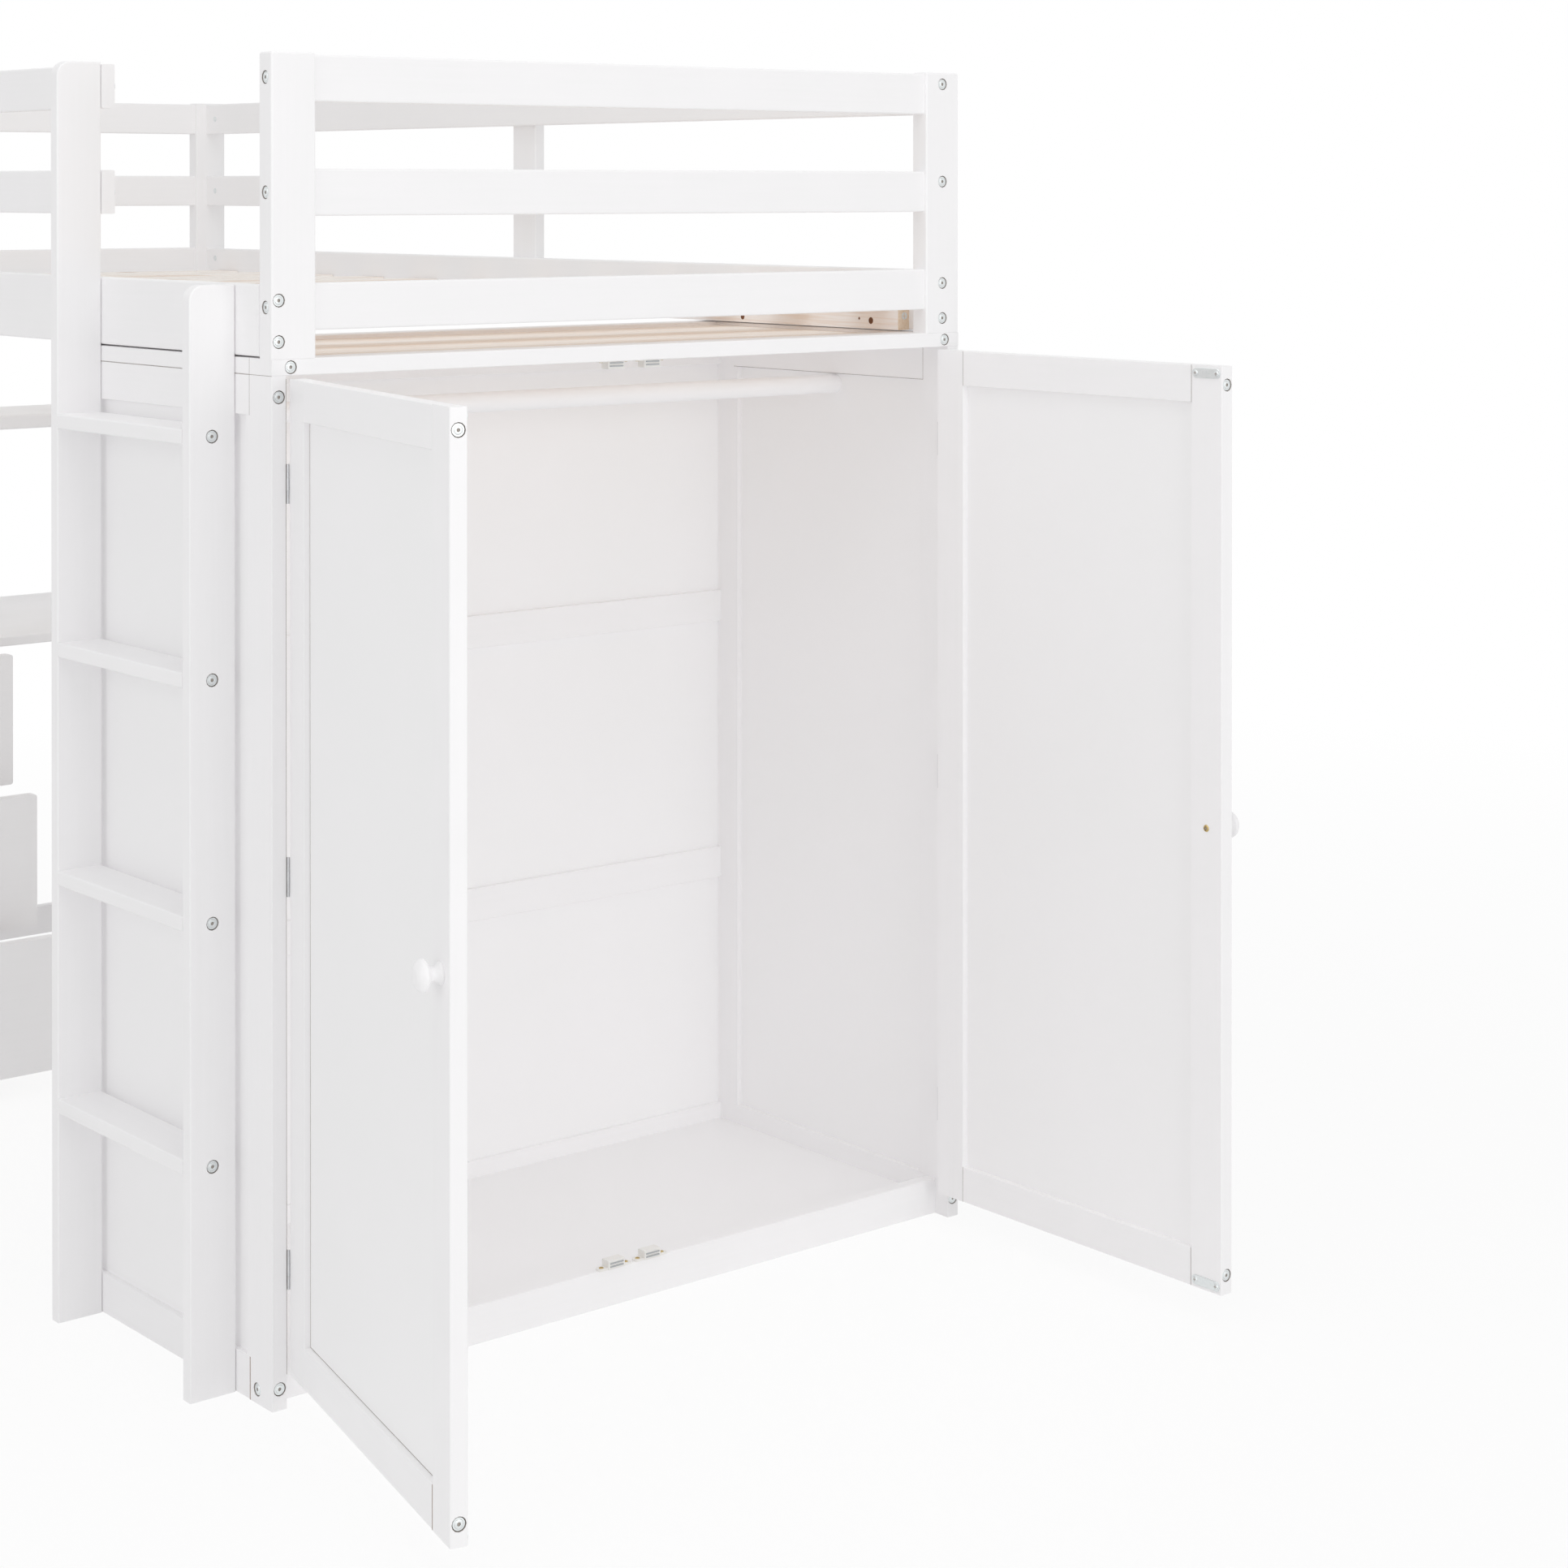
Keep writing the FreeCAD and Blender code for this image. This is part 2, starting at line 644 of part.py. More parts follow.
# Magnetic catches: one pair stands on the toe board, one pair hangs under the top frame
catch_face = door_x[0] - strike_thickness - catch_gap
catch_front = catch_face - pole_reach
catches = []
poles = []
for seat_z, up in ((toe_height, 1), (side_height, -1)):
    for side in (-1, 1):
        y = side * catch_offset
        block_x = (catch_front - catch_depth, catch_front)
        block_z = tuple(sorted((seat_z, seat_z + up * catch_height)))
        ear_z = tuple(sorted((seat_z, seat_z + up * catch_ear_thickness)))
        ears_x = grown(block_x, -pole_reach)
        ears = bar(ears_x, centred(y, catch_ear_span), ear_z, ALONG_Z, catch_ear_round)
        block = board(block_x, centred(y, catch_width), block_z)
        catches.append(block.fuse(ears).removeSplitter())
        for offset in (-pole_spread / 2, pole_spread / 2):
            pole_z = centred(middle(block_z) + offset, pole_thickness)
            poles.append(board((catch_front, catch_face), centred(y, pole_length), pole_z))
save("magnetic_catches", catches)
save("catch_poles", poles)

# Desk across the head end, on a drawer pedestal and an end panel
desk_x = (head_post_x[1], head_post_x[1] + desk_depth)
desk_z = (desk_height - desk_thickness, desk_height)
save("desk_top", [bar(desk_x, from_front(0, bed_width), desk_z, ALONG_Y)])
end_panel_x = (desk_x[0], desk_x[1] - desk_panel_setback)
save("desk_end_panel", [board(end_panel_x, from_back(0, desk_panel), (0.0, desk_z[0]))])

shelf_x = (desk_x[0], desk_x[0] + shelf_depth)
shelf_z = (bed_rail_z[0] - shelf_drop - shelf_thickness, bed_rail_z[0] - shelf_drop)
save("shelf", [bar(shelf_x, from_front(0, bed_width), shelf_z, ALONG_Y, drawer_front_round)])
support_x = (shelf_x[0], shelf_x[1] - shelf_support_setback)
save("shelf_supports", [board(support_x, y, (desk_height, shelf_z[0]))
                        for y in (from_front(0, desk_panel), from_back(0, desk_panel))])

# Drawer pedestal: two sides, a back and a plinth, with wooden runners for the drawers
drawer_back_x = desk_x[1] - drawer_front_thickness
pedestal_x = (desk_x[0], drawer_back_x)
pedestal_sides_y = [from_front(0, pedestal_side), from_front(pedestal_width - pedestal_side, pedestal_width)]
pedestal_inside_y = (pedestal_sides_y[0][1], pedestal_sides_y[1][0])
plinth_front = pedestal_x[1] - plinth_setback
save("pedestal_panels", [
    board(pedestal_x, pedestal_sides_y[0], (0.0, desk_z[0])),
    board(pedestal_x, pedestal_sides_y[1], (0.0, desk_z[0])),
    board((pedestal_x[0], pedestal_x[0] + pedestal_back), pedestal_inside_y, (0.0, desk_z[0])),
    board((plinth_front - pedestal_back, plinth_front), pedestal_inside_y, (0.0, plinth_height)),
])

drawer_names = ("bottom", "middle", "top")
drawer_pitch = (desk_z[0] - drawer_top_gap - plinth_height) / len(drawer_names)
drawer_front_z = {}
for order, name in enumerate(drawer_names):
    top = plinth_height + (order + 1) * drawer_pitch
    drawer_front_z[name] = (top - drawer_pitch + drawer_front_gap, top)
runner_x = (pedestal_x[0] + pedestal_back, pedestal_x[1])
runners = []
for front_z in drawer_front_z.values():
    seat = front_z[0] + drawer_bottom_lift
    for y in ((pedestal_inside_y[0], pedestal_inside_y[0] + runner_width),
              (pedestal_inside_y[1] - runner_width, pedestal_inside_y[1])):
        runners.append(board(runner_x, y, (seat - runner_height, seat)))
save("drawer_runners", runners)


def make_drawer(name, pull):
    """Drawer with a rounded overlay front, a box of thin walls, and a bottom held in grooves."""
    front_z = drawer_front_z[name]
    front_y = grown(from_front(0, pedestal_width), -drawer_front_side_gap)
    front = bar((drawer_back_x, desk_x[1]), front_y, front_z, ALONG_X, drawer_front_round)
    box_y = grown(pedestal_inside_y, -drawer_side_gap)
    box_z = (front_z[0] + drawer_bottom_lift, front_z[1] - drawer_top_drop)
    box_x = (drawer_back_x - drawer_length, drawer_back_x)
    inner_y = grown(box_y, -drawer_wall)
    inner_x = (box_x[0] + drawer_wall, box_x[1])
    floor_z = (box_z[0] + drawer_bottom_inset, box_z[0] + drawer_bottom_inset + drawer_bottom_thickness)
    floor = board((inner_x[0] - drawer_groove, inner_x[1]), grown(inner_y, drawer_groove), floor_z)
    walls = [
        board(box_x, (box_y[0], inner_y[0]), box_z),
        board(box_x, (inner_y[1], box_y[1]), box_z),
        board((box_x[0], inner_x[0]), inner_y, box_z),
    ]
    box = [wall.cut(floor) for wall in walls] + [floor]
    handle = knob(Vector(desk_x[1], middle(front_y), middle(front_z)))
    nodes = {"_drawer_front": [front], "_drawer_box": box, "_drawer_knob": [handle]}
    for suffix, solids in nodes.items():
        for solid in solids:
            solid.translate(Vector(pull, 0, 0))
        save(name + suffix, solids)


make_drawer("top", top_drawer_pull)
make_drawer("middle", middle_drawer_pull)
make_drawer("bottom", bottom_drawer_pull)

save("frame_bolts", frame_bolts)
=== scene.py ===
# %% [markdown]
# A loft bed of painted pine, dressed for a studio picture.
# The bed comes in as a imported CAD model, which is the fixed frame of everything here. Its boards already have
# the right shape and place, so this lesson adds what CAD leaves plain: paint, raw pine, plated steel, turned
# knobs, bolt heads and screws, and then the light and the camera.

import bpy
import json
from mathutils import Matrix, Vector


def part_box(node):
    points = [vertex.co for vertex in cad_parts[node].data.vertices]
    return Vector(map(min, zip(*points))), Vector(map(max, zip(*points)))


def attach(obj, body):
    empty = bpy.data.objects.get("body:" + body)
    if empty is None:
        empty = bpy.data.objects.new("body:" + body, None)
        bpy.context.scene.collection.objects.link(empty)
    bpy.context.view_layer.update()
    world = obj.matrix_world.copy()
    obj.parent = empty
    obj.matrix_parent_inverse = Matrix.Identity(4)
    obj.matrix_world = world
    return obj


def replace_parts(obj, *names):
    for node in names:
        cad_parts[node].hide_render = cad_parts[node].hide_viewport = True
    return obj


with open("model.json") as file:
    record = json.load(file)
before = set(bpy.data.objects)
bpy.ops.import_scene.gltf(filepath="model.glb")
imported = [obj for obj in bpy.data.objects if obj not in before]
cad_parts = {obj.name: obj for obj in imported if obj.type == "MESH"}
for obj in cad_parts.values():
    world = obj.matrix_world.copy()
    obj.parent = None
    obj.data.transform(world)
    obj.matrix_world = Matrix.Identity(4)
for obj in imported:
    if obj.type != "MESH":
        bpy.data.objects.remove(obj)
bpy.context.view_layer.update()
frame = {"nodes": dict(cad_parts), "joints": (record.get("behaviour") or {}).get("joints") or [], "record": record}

# %% [markdown]
# The camera comes first, because every later choice is judged through it. It stands off the foot end, at about
# the height of a person's chest, and looks nearly level. The lens looks straight ahead and the picture is
# shifted down instead of tilting the camera, which keeps the bed's uprights parallel, as in a catalogue picture.

# %% Camera
import bpy
import math

scene = bpy.context.scene
camera_place = (3.0918, -2.3198, 1.3847)
camera_heading = 50.221
camera_tilt = 0.303
sensor_width = 36.0
focal_length = 71.094
picture_shift = (-0.0008, -0.3693)

lens = bpy.data.cameras.new("studio_camera")
lens.sensor_width = sensor_width
lens.lens = focal_length
lens.shift_x, lens.shift_y = picture_shift
camera = bpy.data.objects.new("studio_camera", lens)
camera.location = camera_place
camera.rotation_euler = (math.radians(90 - camera_tilt), 0, math.radians(camera_heading))
scene.collection.objects.link(camera)
scene.camera = camera
print("camera", camera_place, "lens", focal_length)

# %% [markdown]
# A material is a small network of nodes, and building one by hand takes many clicks. In a script, one helper
# does it all: it adds a node, sets its options, and fills each input with a number or with a link from another
# node. Colours are written as hex values, as they look on a screen, and one function turns them to the linear
# values that the renderer counts with. A Mix node keeps hidden sockets for other kinds of value, so its colour
# sockets go by number, and the numbers get names here.

# %% Helpers for materials
import numpy as np

MILLIMETRE = 0.001


def linear(hex_colour):
    """Turns a screen colour such as #C9D0D0 to linear red, green, blue and alpha."""
    screen = np.array([int(hex_colour[place:place + 2], 16) for place in (1, 3, 5)]) / 255
    light = np.where(screen <= 0.04045, screen / 12.92, ((screen + 0.055) / 1.055) ** 2.4)
    return (*light.tolist(), 1.0)


def add(tree, kind, inputs=None, **settings):
    """Adds a shader node with its settings, and fills its inputs with constants or links."""
    made = tree.nodes.new("ShaderNode" + kind)
    for name, value in settings.items():
        setattr(made, name, value)
    for key, value in (inputs or {}).items():
        if isinstance(value, bpy.types.NodeSocket):
            tree.links.new(value, made.inputs[key])
        else:
            made.inputs[key].default_value = value
    return made


def new_material(name):
    """Returns an empty material with its tree, its shader and its object coordinates."""
    material = bpy.data.materials.new(name)
    material.use_nodes = True
    tree = material.node_tree
    tree.nodes.clear()
    shader = add(tree, "BsdfPrincipled")
    add(tree, "OutputMaterial", {"Surface": shader.outputs["BSDF"]})
    place = add(tree, "TexCoord").outputs["Object"]
    return material, tree, shader, place


def per_metre(size_mm):
    """Pattern repeats in a metre, for one repeat of a size in millimetres."""
    return 1 / (size_mm * MILLIMETRE)


def along_grain(axis, width_mm, length_mm):
    """Stretches a pattern along one axis of a board: repeats per metre in X, Y and Z."""
    return tuple(per_metre(length_mm if name == axis else width_mm) for name in "XYZ")


MIX_FACTOR, MIX_A, MIX_B, MIX_OUT = 0, 6, 7, 2
print("middle grey in linear light", linear("#808080"))

# %% [markdown]
# The bed is pine under a sprayed satin white lacquer. The paint hides the colour of the wood, but not all of its
# relief: pine's grain stands through as long, shallow ripples, and the film pools a little unevenly. So the colour
# hardly changes, while a bump and a slightly changing gloss run along each board. The ripples have to follow the
# board, so one function makes the finish for a grain direction, and each board gets the one it needs.

# %% White painted pine
paint_white = "#FBFAFB"
paint_shade = "#F5F5F5"
paint_gloss = (0.36, 0.50)
ripple_width = 5.0
ripple_length = 180.0
ripple_height = 0.4
ripple_strength = 0.12
pooling_size = 90.0
pooling_range = (0.3, 0.7)


def painted_pine(axis, turn=0.0):
    """White lacquer over pine whose grain runs along an axis, turned about Z for a board that swings."""
    material, tree, shader, place = new_material("white_painted_pine_%s_%d" % (axis.lower(), round(turn)))
    board = add(tree, "Mapping", {"Vector": place, "Rotation": (0, 0, -math.radians(turn))}).outputs[0]
    stretched = add(tree, "Mapping", {"Vector": board, "Scale": along_grain(axis, ripple_width, ripple_length)})
    ripple = add(tree, "TexNoise", {"Vector": stretched.outputs[0], "Scale": 1.0, "Detail": 3.0})
    pooling = add(tree, "TexNoise", {"Vector": board, "Scale": per_metre(pooling_size), "Detail": 2.0})
    blend = add(tree, "Math", {0: ripple.outputs["Fac"], 1: pooling.outputs["Fac"]}, operation="MULTIPLY")
    tint = add(tree, "Mix", {MIX_FACTOR: blend.outputs[0], MIX_A: linear(paint_white), MIX_B: linear(paint_shade)},
               data_type="RGBA")
    gloss = add(tree, "MapRange", {"Value": pooling.outputs["Fac"],
                                   "From Min": pooling_range[0], "From Max": pooling_range[1],
                                   "To Min": paint_gloss[0], "To Max": paint_gloss[1]})
    relief = add(tree, "Bump", {"Height": ripple.outputs["Fac"], "Strength": ripple_strength,
                                "Distance": ripple_height * MILLIMETRE})
    tree.links.new(tint.outputs[MIX_OUT], shader.inputs["Base Color"])
    tree.links.new(gloss.outputs[0], shader.inputs["Roughness"])
    tree.links.new(relief.outputs[0], shader.inputs["Normal"])
    return material


hinges = {joint["child"]: joint for joint in frame["joints"] if joint["type"] == "hinge"}
door_turn = {door: -hinge["range_deg"][0] * hinge["axis"][2] for door, hinge in hinges.items()}
paint = {axis: painted_pine(axis) for axis in "XYZ"}
door_rail_paint = {door: painted_pine("Y", turn) for door, turn in door_turn.items()}
print("paint finishes", [material.name for material in bpy.data.materials])

# %% [markdown]
# The thin panels are fibreboard with the same white lacquer. Fibreboard has no grain, so what is left is the fine
# orange peel that a spray gun gives a flat sheet: soft bumps of a few millimetres, all alike in every direction.

# %% White painted fibreboard panel
panel_white = "#FCFBFC"
panel_shade = "#F9F9F9"
panel_gloss = (0.40, 0.52)
cloud_size = 220.0
peel_size = 3.0
peel_height = 0.2
peel_strength = 0.05


def painted_panel():
    """White lacquer on fibreboard: even colour with a fine orange peel."""
    material, tree, shader, place = new_material("white_painted_fibreboard")
    peel = add(tree, "TexNoise", {"Vector": place, "Scale": per_metre(peel_size), "Detail": 1.0})
    cloud = add(tree, "TexNoise", {"Vector": place, "Scale": per_metre(cloud_size), "Detail": 2.0})
    tint = add(tree, "Mix", {MIX_FACTOR: cloud.outputs["Fac"], MIX_A: linear(panel_white),
                             MIX_B: linear(panel_shade)}, data_type="RGBA")
    gloss = add(tree, "MapRange", {"Value": peel.outputs["Fac"],
                                   "To Min": panel_gloss[0], "To Max": panel_gloss[1]})
    relief = add(tree, "Bump", {"Height": peel.outputs["Fac"], "Strength": peel_strength,
                                "Distance": peel_height * MILLIMETRE})
    tree.links.new(tint.outputs[MIX_OUT], shader.inputs["Base Color"])
    tree.links.new(gloss.outputs[0], shader.inputs["Roughness"])
    tree.links.new(relief.outputs[0], shader.inputs["Normal"])
    return material


panel_finish = painted_panel()
print("made", panel_finish.name)

# %% [markdown]
# The battens, the slats, the board inside the wardrobe's top and the drawer boxes are planed pine without paint.
# Pine shows pale early wood between darker lines of late wood, stretched along the board, and here and there a
# brown knot. Bands that a noise bends give the lines, a finer noise gives the pores, and cells of a Voronoi
# pattern, cut down to small spots, give the knots. The slats and the wardrobe's board, whose grain runs across the
# bed, are of a warmer wood than the battens along it.

# %% Raw planed pine
early_wood = {"X": "#FDFAF8", "Y": "#FDF9F4"}
late_wood = {"X": "#F7EFE9", "Y": "#F5E8DD"}
pore_colour = {"X": "#F1E8E1", "Y": "#EFE0D3"}
knot_colour = "#A87A52"
line_spacing = 9.0
line_length = 420.0
line_bend = 0.6
lines_in_a_bend = 34.0
late_wood_range = (0.1, 1.0)
pore_width = 1.2
pore_length = 60.0
pore_height = 0.3
pore_strength = 0.15
pore_range = (0.52, 0.80)
deepest_pore = 0.5
knot_spacing = 170.0
knot_size = 0.085
planed_roughness = 0.62


def raw_pine(axis):
    """Planed pine whose late wood lines run along an axis, with a few knots."""
    material, tree, shader, place = new_material("raw_planed_pine_" + axis.lower())
    stretched = add(tree, "Mapping", {"Vector": place, "Scale": along_grain(axis, line_spacing, line_length)})
    bend = add(tree, "TexNoise", {"Vector": stretched.outputs[0], "Scale": line_bend, "Detail": 3.0})
    lines = add(tree, "Math", {0: bend.outputs["Fac"], 1: lines_in_a_bend}, operation="MULTIPLY")
    waves = add(tree, "Math", {0: lines.outputs[0]}, operation="SINE")
    late = add(tree, "MapRange", {"Value": waves.outputs[0],
                                  "From Min": late_wood_range[0], "From Max": late_wood_range[1]})
    fibre = add(tree, "Mapping", {"Vector": place, "Scale": along_grain(axis, pore_width, pore_length)})
    pores = add(tree, "TexNoise", {"Vector": fibre.outputs[0], "Scale": 1.0, "Detail": 2.0})
    pore_share = add(tree, "MapRange", {"Value": pores.outputs["Fac"], "To Max": deepest_pore,
                                        "From Min": pore_range[0], "From Max": pore_range[1]})
    cells = add(tree, "Mapping", {"Vector": place, "Scale": along_grain(axis, knot_spacing, 2 * knot_spacing)})
    spots = add(tree, "TexVoronoi", {"Vector": cells.outputs[0], "Scale": 1.0})
    knots = add(tree, "MapRange", {"Value": spots.outputs["Distance"], "From Min": knot_size,
                                   "From Max": 0.5 * knot_size})
    wood = add(tree, "Mix", {MIX_FACTOR: late.outputs[0], MIX_A: linear(early_wood[axis]),
                             MIX_B: linear(late_wood[axis])}, data_type="RGBA")
    porous = add(tree, "Mix", {MIX_FACTOR: pore_share.outputs[0], MIX_A: wood.outputs[MIX_OUT],
                               MIX_B: linear(pore_colour[axis])}, data_type="RGBA")
    knotty = add(tree, "Mix", {MIX_FACTOR: knots.outputs[0], MIX_A: porous.outputs[MIX_OUT],
                               MIX_B: linear(knot_colour)}, data_type="RGBA")
    relief = add(tree, "Bump", {"Height": pores.outputs["Fac"], "Strength": pore_strength,
                                "Distance": pore_height * MILLIMETRE})
    tree.links.new(knotty.outputs[MIX_OUT], shader.inputs["Base Color"])
    tree.links.new(relief.outputs[0], shader.inputs["Normal"])
    shader.inputs["Roughness"].default_value = planed_roughness
    return material


pine = {axis: raw_pine(axis) for axis in "XY"}
print("made", [material.name for material in pine.values()])

# %% [markdown]
# The hardware is steel, most of it plated. Bright zinc is a bluish grey mirror, dulled by a fine bloom, on the
# bolts and strike plates. Yellow zinc, on the small screws, looks like pale brass. The hinges are nickel plated, and
# the catches' poles are bare ground steel, which is darker. All are metals, so the colour is the colour of the
# reflection, and a fine noise breaks the gloss. The catches are white moulded plastic with the faint grain of their
# mould. Both the bloom and that grain are finer in truth, and are drawn coarser so that they show.

# %% Plated steel and moulded plastic
bloom_size = 2.5
gloss_spread = 0.08
plastic_white = "#F4F3F0"
plastic_shade = "#E9E7E3"
plastic_roughness = 0.35
mould_grain = 0.8
mould_height = 0.1
mould_strength = 0.1


def plated_steel(name, bright, dull, roughness):
    """Plated or ground steel: a metal whose colour and gloss change a little over a few millimetres."""
    material, tree, shader, place = new_material(name)
    bloom = add(tree, "TexNoise", {"Vector": place, "Scale": per_metre(bloom_size), "Detail": 3.0})
    tint = add(tree, "Mix", {MIX_FACTOR: bloom.outputs["Fac"], MIX_A: linear(bright), MIX_B: linear(dull)},
               data_type="RGBA")
    gloss = add(tree, "MapRange", {"Value": bloom.outputs["Fac"], "To Min": roughness - gloss_spread,
                                   "To Max": roughness + gloss_spread})
    tree.links.new(tint.outputs[MIX_OUT], shader.inputs["Base Color"])
    tree.links.new(gloss.outputs[0], shader.inputs["Roughness"])
    shader.inputs["Metallic"].default_value = 1.0
    return material


def moulded_plastic():
    """White moulded plastic with the faint spark-eroded grain of its mould."""
    material, tree, shader, place = new_material("white_moulded_plastic")
    grain = add(tree, "TexNoise", {"Vector": place, "Scale": per_metre(mould_grain), "Detail": 1.0})
    tint = add(tree, "Mix", {MIX_FACTOR: grain.outputs["Fac"], MIX_A: linear(plastic_white),
                             MIX_B: linear(plastic_shade)}, data_type="RGBA")
    relief = add(tree, "Bump", {"Height": grain.outputs["Fac"], "Strength": mould_strength,
                                "Distance": mould_height * MILLIMETRE})
    tree.links.new(tint.outputs[MIX_OUT], shader.inputs["Base Color"])
    tree.links.new(relief.outputs[0], shader.inputs["Normal"])
    shader.inputs["Roughness"].default_value = plastic_roughness
    return material


zinc = plated_steel("bright_zinc_plated_steel", "#EDF0F0", "#DCE1E2", 0.40)
yellow_zinc = plated_steel("yellow_zinc_plated_steel", "#D5BF88", "#B59C66", 0.32)
nickel = plated_steel("satin_nickel_plated_steel", "#DFE0E1", "#CBCDCF", 0.36)
ground_steel = plated_steel("bare_ground_steel", "#BFC1C3", "#A1A4A7", 0.30)
plastic = moulded_plastic()
print("made", zinc.name, yellow_zinc.name, nickel.name, ground_steel.name, plastic.name)

# %% [markdown]
# Raw wood shows in small places where the paint stops: in seams that opened after spraying, at a sawn batten's end
# and in a knot. Two of the colours here also paint shade. A grey one draws the joint lines and, in narrow gaps,
# lines of painted shade. A greyish one is bare wood in the recesses drilled for the bolts, with painted shade there
# and in the sockets of bolts and screws. All are matt. At this size the eye sees only a patchy tone, so two colours
# mixed by a noise are enough.

# %% Raw wood and painted shade in small places
bare_roughness = 0.7


def bare_wood(name, light, dark, patch_mm):
    """Unpainted wood, or painted shade in small places: two colours mixed by a noise with patches of a size in
    millimetres.
    """
    material, tree, shader, place = new_material(name)
    patches = add(tree, "TexNoise", {"Vector": place, "Scale": per_metre(patch_mm), "Detail": 2.0})
    tint = add(tree, "Mix", {MIX_FACTOR: patches.outputs["Fac"], MIX_A: linear(light), MIX_B: linear(dark)},
               data_type="RGBA")
    tree.links.new(tint.outputs[MIX_OUT], shader.inputs["Base Color"])
    shader.inputs["Roughness"].default_value = bare_roughness
    return material


seam_wood = bare_wood("raw_pine_in_open_seams", "#A58A7B", "#836A5C", 6.0)
joint_line_and_painted_shade_wood = bare_wood("pine_joint_lines_and_painted_shade_lines", "#A69D97", "#877E79", 6.0)
recess_wood_and_painted_shade = bare_wood("bare_pine_and_painted_shade_in_recesses", "#B9B0A9", "#968D86", 2.0)
end_grain = bare_wood("sawn_pine_end_grain", "#F3E6D6", "#DDBF9B", 3.0)
knot_wood = bare_wood("pine_knot", "#8A5A38", "#56331E", 4.0)
print("made", seam_wood.name, joint_line_and_painted_shade_wood.name, recess_wood_and_painted_shade.name, end_grain.name, knot_wood.name)

# %% [markdown]
# Now the boards get their finishes. A board's grain runs along its longest side, so the box of a node says which
# paint it needs. Nodes that hold several boards are listed with their grain, because the box of the group says
# nothing about one board.

# %% Finishes of the boards
grain_by_node = {
    "foot_end_rails": "Y", "head_end_rails": "Y", "guard_rails_front": "X", "guard_rails_back": "X",
    "ladder_rungs": "X", "wardrobe_stiles": "Z", "wardrobe_side_rails": "X", "wardrobe_back_rails": "Y",
    "top_cross_rails": "Y", "top_side_rails": "X", "pedestal_panels": "Z", "shelf_supports": "Z",
    "slat_battens": "X", "slats": "Y", "drawer_runners": "X",
}


def longest_axis(node):
    """Name of the axis along which a node is longest."""
    low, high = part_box(node)
    return "XYZ"[int(np.argmax(np.array(high) - np.array(low)))]


def finish_for(node, slot):
    """Material for a CAD node: by its slot, its grain and, on a door, the door's angle."""
    axis = grain_by_node.get(node) or longest_axis(node)
    if slot == "white_painted_panel":
        return panel_finish
    if slot == "raw_pine":
        return pine["Y" if axis == "Y" else "X"]
    if slot == "zinc_plated_steel":
        return {"poles": ground_steel, "leaves": nickel}.get(node.rsplit("_", 1)[-1], zinc)
    if slot == "white_plastic":
        return plastic
    if node.endswith("door_rails"):
        return door_rail_paint[node[:-len("_rails")]]
    return paint["Z" if node.endswith(("door_stiles", "knob")) else axis]


slot_of = {part["node"]: part["material_slot"] for part in frame["record"]["subparts"]}
for name, board in frame["nodes"].items():
    board.data.materials.clear()
    board.data.materials.append(finish_for(name, slot_of[name]))
print("finished", len(frame["nodes"]), "nodes")

# %% [markdown]
# Small hardware is round, so it is turned: a profile of radii and heights is carried round an axis. Written as
# arrays, the whole surface is one grid of points, ring by ring. A second helper stands such a grid on a place, and
# a third joins any number of grids into one mesh, which then rides on a body of the bed.

# %% Helpers for turned pieces
import bmesh

RING_POINTS = 48
around = np.linspace(0, 2 * np.pi, RING_POINTS, endpoint=False)


def turned(profile_mm):
    """Grid of rings: radius times cosine and sine of the angle, and the height along Z.

    A row of the profile is a radius and a height. The radius may itself be an array over the angle, which gives
    a ring that isn't round.
    """
    radius = np.array([np.broadcast_to(row[0], RING_POINTS) for row in profile_mm])
    height = np.array([np.broadcast_to(row[1], RING_POINTS) for row in profile_mm])
    return np.stack([radius * np.cos(around), radius * np.sin(around), height], axis=-1) * MILLIMETRE


def stand(grid, place, outward):
    """Turns a grid's Z axis to a direction and moves its origin to a place."""
    outward = np.array(outward, float) / np.linalg.norm(outward)
    helper = np.array((0, 0, 1.0)) if abs(outward[2]) < 0.9 else np.array((1.0, 0, 0))
    side = np.cross(helper, outward)
    side /= np.linalg.norm(side)
    return grid @ np.stack([side, np.cross(outward, side), outward]) + np.array(place)


def build(name, grids, finish, body, sharp_angle=35.0):
    """One smooth mesh from closed grids: each ring joins the next by quads, and the end rings close to points."""
    faces = []
    first = 0
    for grid in grids:
        rings, points = grid.shape[:2]
        index = first + np.arange(rings * points).reshape(rings, points)
        beside = np.roll(index, -1, axis=1)
        faces.append(np.stack([index[:-1], beside[:-1], beside[1:], index[1:]], axis=-1).reshape(-1, 4))
        first += rings * points
    mesh = bpy.data.meshes.new(name)
    corners = np.concatenate([grid.reshape(-1, 3) for grid in grids])
    mesh.from_pydata(corners.tolist(), [], np.concatenate(faces).tolist())
    work = bmesh.new()
    work.from_mesh(mesh)
    bmesh.ops.remove_doubles(work, verts=work.verts, dist=0.001 * MILLIMETRE)
    work.to_mesh(mesh)
    work.free()
    mesh.polygons.foreach_set("use_smooth", np.ones(len(mesh.polygons), bool))
    mesh.set_sharp_from_angle(angle=math.radians(sharp_angle))
    mesh.materials.append(finish)
    piece = bpy.data.objects.new(name, mesh)
    scene.collection.objects.link(piece)
    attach(piece, body)
    print(name, "faces", len(mesh.polygons))
    return piece


print("points in a ring", RING_POINTS)
